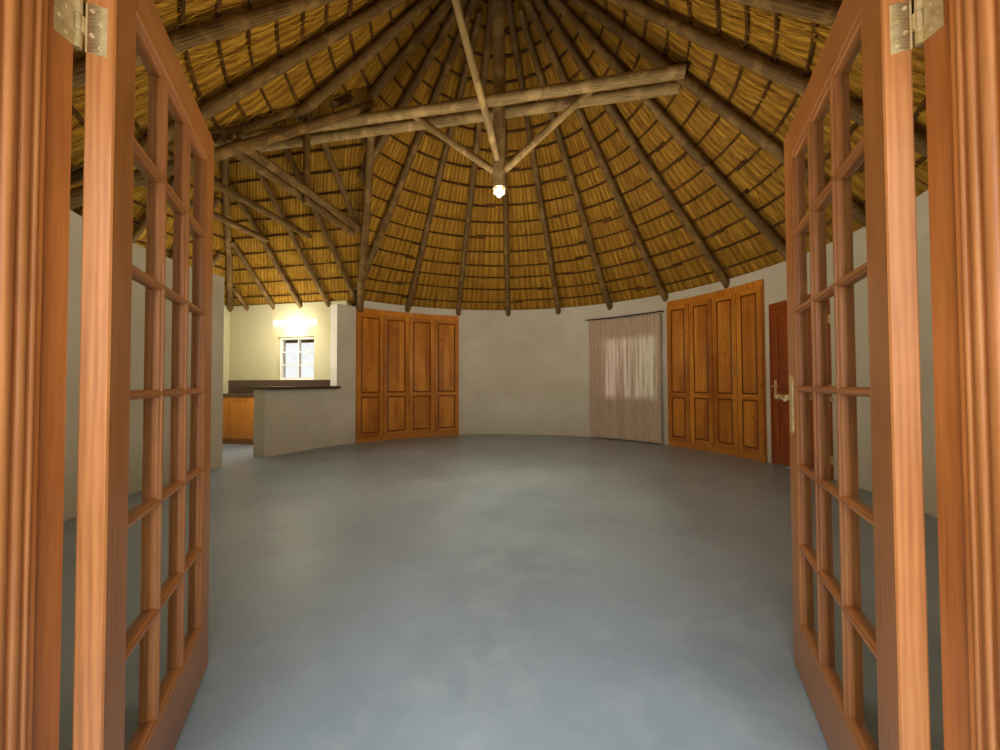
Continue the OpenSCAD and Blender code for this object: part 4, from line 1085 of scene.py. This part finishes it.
def addLever(parts, t):  # a long plate with a lever on each face, round the leaf's middle plane
    r, drop = lever["plateR"], lever["plateDrop"]
    for face in (-1, 1):
        out = acrossY * face
        outline = []
        for a in [2 * pi * k / 24 for k in range(24)]:  # the plate's rounded ends
            reach = lever["plateReach"] * (1 if sin(a) >= 0 else -1)
            outline.append((r * cos(a), reach + r * sin(a) - drop))
        if face < 0:
            outline = outline[::-1]
        inner = [(x * 0.88, (z + drop) * 0.97 - drop) for x, z in outline]
        addSweep(parts, outline, out * (t - 0.001), out * (t + 0.0028), acrossX, upward)
        addSweep(parts, inner, out * (t + 0.0025), out * (t + 0.004), acrossX, upward)
        addTurned(parts, lever["neck"], out * (t + 0.003), out, 24)
        path = []
        for f in [k / 14 for k in range(15)]:  # a shallow wave, down to the tip
            stand = out * (t + lever["stand"] + lever["bow"] * sin(2.6 * f))
            rise = 0.006 * sin(3.6 * f) - 0.004 * f * f
            path.append(stand + acrossX * (lever["reach"] * f) + upward * rise)
        addPole(parts, path, lever["thick"], lever["tip"], dict(smoothLook, step=0.009, sides=14), 5)
        for z in lever["screwZs"]:
            addScrew(parts, out * (t + 0.0038) + upward * z, out)
        addTurned(parts, lever["key"], out * (t + 0.004) + upward * lever["keyZ"], out, 18)


def makeLever(name, leaf, t, turn):
    parts = newParts()
    addLever(parts, t)
    makePiece(name, parts, brass, body=leaf, nodes=[leaf + "_handle"], turn=turn)


leverSpot = Matrix.Translation((frontDoor["handleX"] - frontDoor["leafW"], 0, frontDoor["handleZ"]))
makeLever("rightLeafLever", "right_leaf", frontDoor["leafT"] / 2, leafTurn(1) @ leverSpot)
sideDoor = {
    "turn": 5, "x": 3.67493, "pinY": -0.395, "leafW": 0.778, "leafT": 0.04, "handleX": 0.048,
    "hingeZs": (0.31, 1.1015, 1.893), "plate": 0.0025, "plateW": 0.032, "plateH": 0.1,
    "knuckleR": 0.006, "knuckleH": 0.0322, "pinOut": 0.008,
}
sideTurn = Matrix.Rotation(radians(sideDoor["turn"]), 4, "Z")
handleY = sideDoor["pinY"] + frontDoor["gap"] + sideDoor["leafW"] - sideDoor["handleX"]
handleX = sideDoor["x"] + sideDoor["leafT"] / 2
sideSpot = (sideTurn @ Matrix.Translation((handleX, handleY, frontDoor["handleZ"]))
            @ Matrix.Rotation(radians(-90), 4, "Z"))
sideHinges = newParts()
x, y, r = sideDoor["x"], sideDoor["pinY"] + 0.003, sideDoor["knuckleR"]
plate, tall, half = sideDoor["plate"], sideDoor["plateH"] / 2, sideDoor["knuckleH"] / 2
for z in sideDoor["hingeZs"]:  # its halves of the hinges, on the room face
    for wide, deep, reach in ((plate, sideDoor["plateW"], tall), (sideDoor["pinOut"], plate, half)):
        foot, head = [Vector((x - wide / 2, y + deep / 2, level)) for level in (z - reach, z + reach)]
        addSweep(sideHinges, planed(wide, deep, 0.0004), foot, head, acrossX, acrossY)
    knuckle = [(0.0, -half), (r, -half), (r, half), (0.0, half)]
    addTurned(sideHinges, knuckle, Vector((x - sideDoor["pinOut"], sideDoor["pinY"], z)), upward, 20)
    for dz, inset in plateScrews:
        addScrew(sideHinges, Vector((x - plate, y + inset + 0.002, z + dz)), -acrossX)
makePiece("sideDoorHinges", sideHinges, brass, body="side_door", turn=sideTurn, sharp=35)
makeLever("sideDoorLever", "side_door", sideDoor["leafT"] / 2, sideSpot)

# beads on the jambs, outside the stop, as the moulded frame has them
jambBeads = {
    "ys": (-3.652, -3.668, -3.690, -3.712), "rs": (0.004, 0.007, 0.010, 0.007),
    "faceX": 0.808, "zs": (0.1, 2.13),
}
beads = newParts()
for side in (-1, 1):
    for y, r in zip(jambBeads["ys"], jambBeads["rs"]):
        outline = [(r * cos(a), r * sin(a) * 0.8) for a in [pi * k / 8 for k in range(9)]]
        foot, head = [Vector((side * jambBeads["faceX"], y, z)) for z in jambBeads["zs"]]
        addSweep(beads, outline, foot, head, acrossY * -side, Vector((-side, 0, 0)), r * 900 + side)
makePiece("jambBeading", beads, mahogany, sharp=60)
print("doors made")


# curtain
curtain = {
    "from": 38.9, "to": 60.7, "r": 3.61, "foot": 0.125, "top": 2.412, "folds": 19, "depth": 0.024,
    "rodZ": 2.43, "flat": (2.3, 2.29), "rows": 36, "cols": 420, "hemH": 0.026, "hemOut": 0.0025,
    "ringR": 0.0175, "ringD": 0.004,
}


def curtainPlace(i, j):  # j from the foot up
    chance = noise.noise(Vector((i * 9, 0, 3))) * 0.9
    loose = 1 - 0.45 * j
    swell = 1 + 0.25 * noise.noise(Vector((i * 14, j * 1.5, 8)))
    phase = 2 * pi * curtain["folds"] * i + chance * 2.2 * loose
    r = curtain["r"] + curtain["depth"] * swell * sin(phase) * (0.75 + 0.25 * loose)
    drift = 0.16 * noise.noise(Vector((i * 6, j * 1.2, 5))) * loose
    sway = 0.20 * sin(2 * phase) * loose
    turn = curtain["from"] + i * (curtain["to"] - curtain["from"]) + drift + sway * 0.4
    turn = min(max(turn, curtain["from"]), curtain["to"])
    scallop = 0.012 * cos(phase) * max(0, (j - 0.97) / 0.03)
    z = curtain["foot"] + j * (curtain["top"] - curtain["foot"]) + scallop - 0.012 * (1 if j > 0.999 else 0)
    return polar(r, turn, z)


cloth, cols, (flatW, flatH) = newParts(), curtain["cols"], curtain["flat"]
addGrid(cloth, curtain["rows"], cols, curtainPlace, lambda i, j: (i * flatW, j * flatH))
curtainPiece = makePiece("gatheredCurtain", cloth, curtainCloth, nodes=["curtain"], sharp=80)
midRow = [curtainPlace(i / cols, 0.5) for i in range(cols + 1)]
flatWidth = sum((b - a).length for a, b in zip(midRow, midRow[1:]))
print("curtain flat width", round(flatWidth, 2))

hem, hemOut = newParts(), polar(-curtain["hemOut"], 49.5, 0)
addGrid(hem, 2, cols, lambda i, j: curtainPlace(i, 0.004 + curtain["hemH"] * j) + hemOut,
        lambda i, j: (i * flatW, j * 0.06))
hemPiece = makePiece("curtainHem", hem, curtainCloth, sharp=80)
rings = newParts()
for k in range(curtain["folds"]):
    turn = curtain["from"] + (k + 0.5) * (curtain["to"] - curtain["from"]) / curtain["folds"]
    flat, centre = polar(1, turn, 0), polar(curtain["r"], turn, curtain["rodZ"] - 0.006)
    loop = [centre + (flat * cos(a) + upward * sin(a)) * curtain["ringR"]
            for a in [2 * pi * m / 16 for m in range(17)]]
    addPole(rings, loop, curtain["ringD"], curtain["ringD"], dict(smoothLook, step=0.007, sides=6), 3)
ringPiece = makePiece("curtainRings", rings, iron, sharp=80)

# cupboards
fronts = {
    "banks": ((12.6, 6.2), (103.6, 8.0)), "doors": 4, "r": 3.67, "low": 0.19, "tall": 2.305, "stile": 0.07,
    "split": 0.34, "margin": 0.025, "sunk": 0.0065, "proud": 0.0012, "back": 0.008,
}
pulls = {"z": 1.37, "long": 0.15, "stand": 0.028, "thick": 0.009, "inset": 0.032,
         "foot": [(0.0085, 0), (0.0085, 0.002), (0.006, 0.004)]}


def bankDoors():  # every door's number, its pull's side, its turn, half its width and how far out its face is
    for start, wide in fronts["banks"]:
        half = (fronts["r"] - 0.025) * sin(radians(wide / 2)) - 0.004
        face = fronts["r"] * cos(radians(wide / 2)) - 0.022
        for k in range(fronts["doors"]):
            yield round(10 * start) + k, (-1) ** k, start + (k + 0.5) * wide, half, face


pullParts = newParts()
for _, side, turn, half, face in bankDoors():
    out, along = polar(-1, turn, 0), polar(1, turn + 90, 0)
    spot, stand = polar(face, turn, pulls["z"]) + along * (half - pulls["inset"]) * side, out * pulls["stand"]
    ends = [spot + upward * s * pulls["long"] / 2 for s in (-1, 1)]
    bow = [ends[0] + out * 0.002, ends[0] + stand * 0.7 + upward * 0.012, ends[0] + stand + upward * 0.035,
           ends[1] + stand - upward * 0.035, ends[1] + stand * 0.7 - upward * 0.012, ends[1] + out * 0.002]
    addPole(pullParts, bow, pulls["thick"], pulls["thick"], dict(smoothLook, step=0.01, sides=10), 4)
    for end in ends:
        addTurned(pullParts, pulls["foot"], end, out, 14)
makePiece("cupboardPulls", pullParts, brass, sharp=50)


# framed cupboard doors: separate boards over the plain doors of the solids, which they match
def addSlab(parts, place, box, grain, chance):  # box of y0, y1, z0, z1 and the fronts' depths at its edges
    (y0, y1), (z0, z1), depths = box
    base, shift = len(parts["points"]), chance.uniform(0, 60)
    corners = ((y0, z0), (y1, z0), (y1, z1), (y0, z1))
    parts["points"].extend([place(depth, *corner) for depth, corner in zip(depths, corners)])
    uvs = [(y + shift, z + shift) if grain == "up" else (z + shift, y + shift) for y, z in corners]
    addFace(parts, [base + k for k in (3, 2, 1, 0)], uvs[::-1])


def addPanel(parts, shadedMoulds, place, y0, y1, z0, z1, chance):  # three upright boards, with a bevel all round
    proud, deep, m = -fronts["proud"], fronts["sunk"], fronts["margin"]
    cuts = [y0 + (y1 - y0) * chance.uniform(*share) for share in ((0.3, 0.4), (0.6, 0.7))]
    cuts = [y0 + m, *cuts, y1 - m]
    for a, b in zip(cuts, cuts[1:]):
        addSlab(parts, place, ((a + 0.001, b - 0.001), (z0 + m, z1 - m), (proud,) * 4), "up", chance)
    # the bevels go into the darker pine: painted shade in the recess round each panel
    addSlab(shadedMoulds, place, ((y0 + m, y1 - m), (z0, z0 + m), (deep, deep, proud, proud)), "across", chance)
    addSlab(shadedMoulds, place, ((y0 + m, y1 - m), (z1 - m, z1), (proud, proud, deep, deep)), "across", chance)
    addSlab(shadedMoulds, place, ((y0, y0 + m), (z0 + m, z1 - m), (deep, proud, proud, deep)), "up", chance)
    addSlab(shadedMoulds, place, ((y1 - m, y1), (z0 + m, z1 - m), (proud, deep, deep, proud)), "up", chance)
    for y, corner in ((y0, 1), (y1, -1)):  # the mitred corners of the bevel
        for zEnd, zIn in ((z0, z0 + m), (z1, z1 - m)):
            base = len(shadedMoulds["points"])
            yIn = y + corner * m
            spots = [(deep, y, zEnd), (deep, yIn, zEnd), (proud, yIn, zIn), (deep, y, zIn)]
            shadedMoulds["points"].extend(place(*spot) for spot in spots)
            order = [0, 1, 2, 3] if (corner > 0) == (zEnd > zIn) else [3, 2, 1, 0]
            addFace(shadedMoulds, [base + k for k in order], [(spots[k][1] + 3, spots[k][2]) for k in order])


def addEdges(parts, place, y0, y1, z0, z1, chance):  # the returns from the frame's face back to the door
    face, back = -fronts["proud"], fronts["back"]
    for ya, za, yb, zb in ((y0, z0, y1, z0), (y1, z0, y1, z1), (y1, z1, y0, z1), (y0, z1, y0, z0)):
        base, shift = len(parts["points"]), chance.uniform(0, 60)
        spots = ((face, ya, za), (face, yb, zb), (back, yb, zb), (back, ya, za))
        parts["points"].extend([place(*spot) for spot in spots])
        uvs = [(shift, za), (shift, zb), (shift + 0.01, zb), (shift + 0.01, za)]
        addFace(parts, [base + k for k in range(4)], uvs)


def cupboardFronts():
    parts, shadedMoulds = newParts(), newParts()
    h, st, proud = fronts["tall"], fronts["stile"], (-fronts["proud"],) * 4
    split = h * fronts["split"]
    levels = [(0, st), (split - st / 2, split + st / 2), (h - st, h)]
    for number, _, turn, half, face in bankDoors():
        chance = random.Random(700 + number)
        out, along = polar(1, turn, 0), polar(1, turn + 90, 0)

        def place(x, y, z):
            return out * (face + x) + along * y + upward * (fronts["low"] + z)
        for y0, y1 in ((-half, st - half), (half - st, half)):
            addSlab(parts, place, ((y0, y1), (0, h), proud), "up", chance)
        for z0, z1 in levels:
            ys = (st - half + 0.0006, half - st - 0.0006)
            addSlab(parts, place, (ys, (z0, z1), proud), "across", chance)
        for (_, z0), (z1, _) in zip(levels, levels[1:]):
            addPanel(parts, shadedMoulds, place, st - half, half - st, z0, z1, chance)
        # the edge returns, also in the darker pine: painted shade in the gaps between doors
        addEdges(shadedMoulds, place, -half, half, 0, h, chance)
    return parts, shadedMoulds


boardParts, shadedMouldParts = cupboardFronts()
makePiece("cupboardFronts", boardParts, boardPine, sharp=4)
# the darker pine of the bevels and returns is painted shade
makePiece("cupboardMouldShade", shadedMouldParts, recessShadePine, sharp=4)

# lamp
lamp = {
    "topZ": 3.46, "bulbs": 3, "bulbOut": 0.042,
    "dish": [(0.045, 0.0), (0.056, -0.006), (0.068, -0.02), (0.07, -0.027), (0.067, -0.03), (0.05, -0.026),
             (0.0, -0.024)],
    "holder": [(0.012, -0.022), (0.017, -0.03), (0.017, -0.05), (0.014, -0.053), (0.0, -0.053)],
    "bulb": [(0.0, -0.108), (0.012, -0.106), (0.022, -0.099), (0.0285, -0.087), (0.0292, -0.076),
             (0.025, -0.064), (0.016, -0.055), (0.013, -0.05)],
}
dish, bulbs = newParts(), newParts()
addTurned(dish, lamp["dish"], upward * lamp["topZ"], upward, 40)
for k in range(lamp["bulbs"]):
    spot = polar(lamp["bulbOut"], 90 + 360 / lamp["bulbs"] * k, lamp["topZ"])
    addTurned(dish, lamp["holder"], spot, upward, 20)
    addTurned(bulbs, lamp["bulb"], spot, upward, 24)
makePiece("lampDish", dish, enamelGlow, nodes=["lamp"], sharp=50)
makePiece("lampBulbs", bulbs, bulbGlass, sharp=60)
print("small pieces made")


# light
lighting = {"world": 0.6, "sky": (0.90, 0.95, 1.0), "sun": 0.9, "doorLight": 140,
            "leftLight": 80, "roomLight": 95, "roofLight": 62, "wingLight": 85, "tube": 16, "lampGlow": 14}

world = bpy.data.worlds.new("studioWorld")
bpy.context.scene.world = world
world.use_nodes = True
tree = world.node_tree
background = tree.nodes["Background"]
path = put(tree, "LightPath").outputs
seen = maths(tree, "MAXIMUM", path["Is Glossy Ray"], path["Is Transmission Ray"])
seen = maths(tree, "MAXIMUM", path["Is Camera Ray"], seen)
feed(background, "Color", mixTone(tree, seen, lighting["sky"] + (1,), (1, 1, 1, 1)))
feed(background, "Strength", maths(tree, "MULTIPLY_ADD", seen, 1 - lighting["world"], lighting["world"]))


def addLight(name, kind, spot, aim, power, size, colour=(1, 1, 1), tall=None):
    data = bpy.data.lights.new(name, kind)
    data.energy, data.color = power, colour
    if kind == "AREA":
        data.shape, data.size, data.size_y = "RECTANGLE", size, tall or size
    elif kind == "POINT":
        data.shadow_soft_size = size
    else:
        data.angle = radians(size)
    source = bpy.data.objects.new(name, data)
    source.location = spot
    source.rotation_euler = (Vector(aim) - Vector(spot)).to_track_quat("-Z", "Y").to_euler()
    source.visible_camera = source.visible_glossy = False
    bpy.context.scene.collection.objects.link(source)


addLight("softSun", "SUN", (-6, -9, 12), (0, 0, 1), lighting["sun"], 25, (1, 0.97, 0.93))
addLight("doorDaylight", "AREA", (0, -5.4, 2.0), (0, 0, 1.6), lighting["doorLight"], 2.6,
         (0.95, 0.97, 1.0), 2.2)
addLight("leftDaylight", "AREA", (-2.4, -3.8, 1.9), (0.9, 0.4, 1.2), lighting["leftLight"], 1.2,
         (1, 0.93, 0.82), 1.6)
addLight("roomFill", "POINT", (0, -0.4, 1.7), (0, 0, 0), lighting["roomLight"], 0.9, (1, 0.88, 0.68))
addLight("roofFill", "AREA", (0, -0.9, 1.2), (0, -0.6, 6), lighting["roofLight"], 2.6, (1, 0.88, 0.64), 2.6)
addLight("wingFill", "POINT", wingSpot(4.3, -0.9, 1.9), (0, 0, 0), lighting["wingLight"], 0.4,
         (1, 0.96, 0.86))
addLight("tubeGlow", "POINT", wingSpot(4.4, -1.88, 2.28), (0, 0, 0), lighting["tube"], 0.1, (1, 0.97, 0.84))
addLight("lampGlow", "POINT", (0, 0, 3.3), (0, 0, 0), lighting["lampGlow"], 0.06, (1, 0.82, 0.58))

ground = newParts()
addGrid(ground, 1, 1, lambda i, j: Vector((160 * i - 80, 160 * j - 80, -0.004)), lambda i, j: (i, j))
groundMesh = bpy.data.meshes.new("paleFloor")
groundMesh.from_pydata(ground["points"], [], ground["faces"])
groundMesh.materials.append(makeWorn("paleFloor", {"Roughness": 0.95}, (0.4, 0.2, 0.9),
                                     ((0.86, 0.86, 0.85, 1), (0.82, 0.82, 0.81, 1))))
groundPiece = bpy.data.objects.new("paleFloor", groundMesh)
bpy.context.scene.collection.objects.link(groundPiece)

print("scene ready")
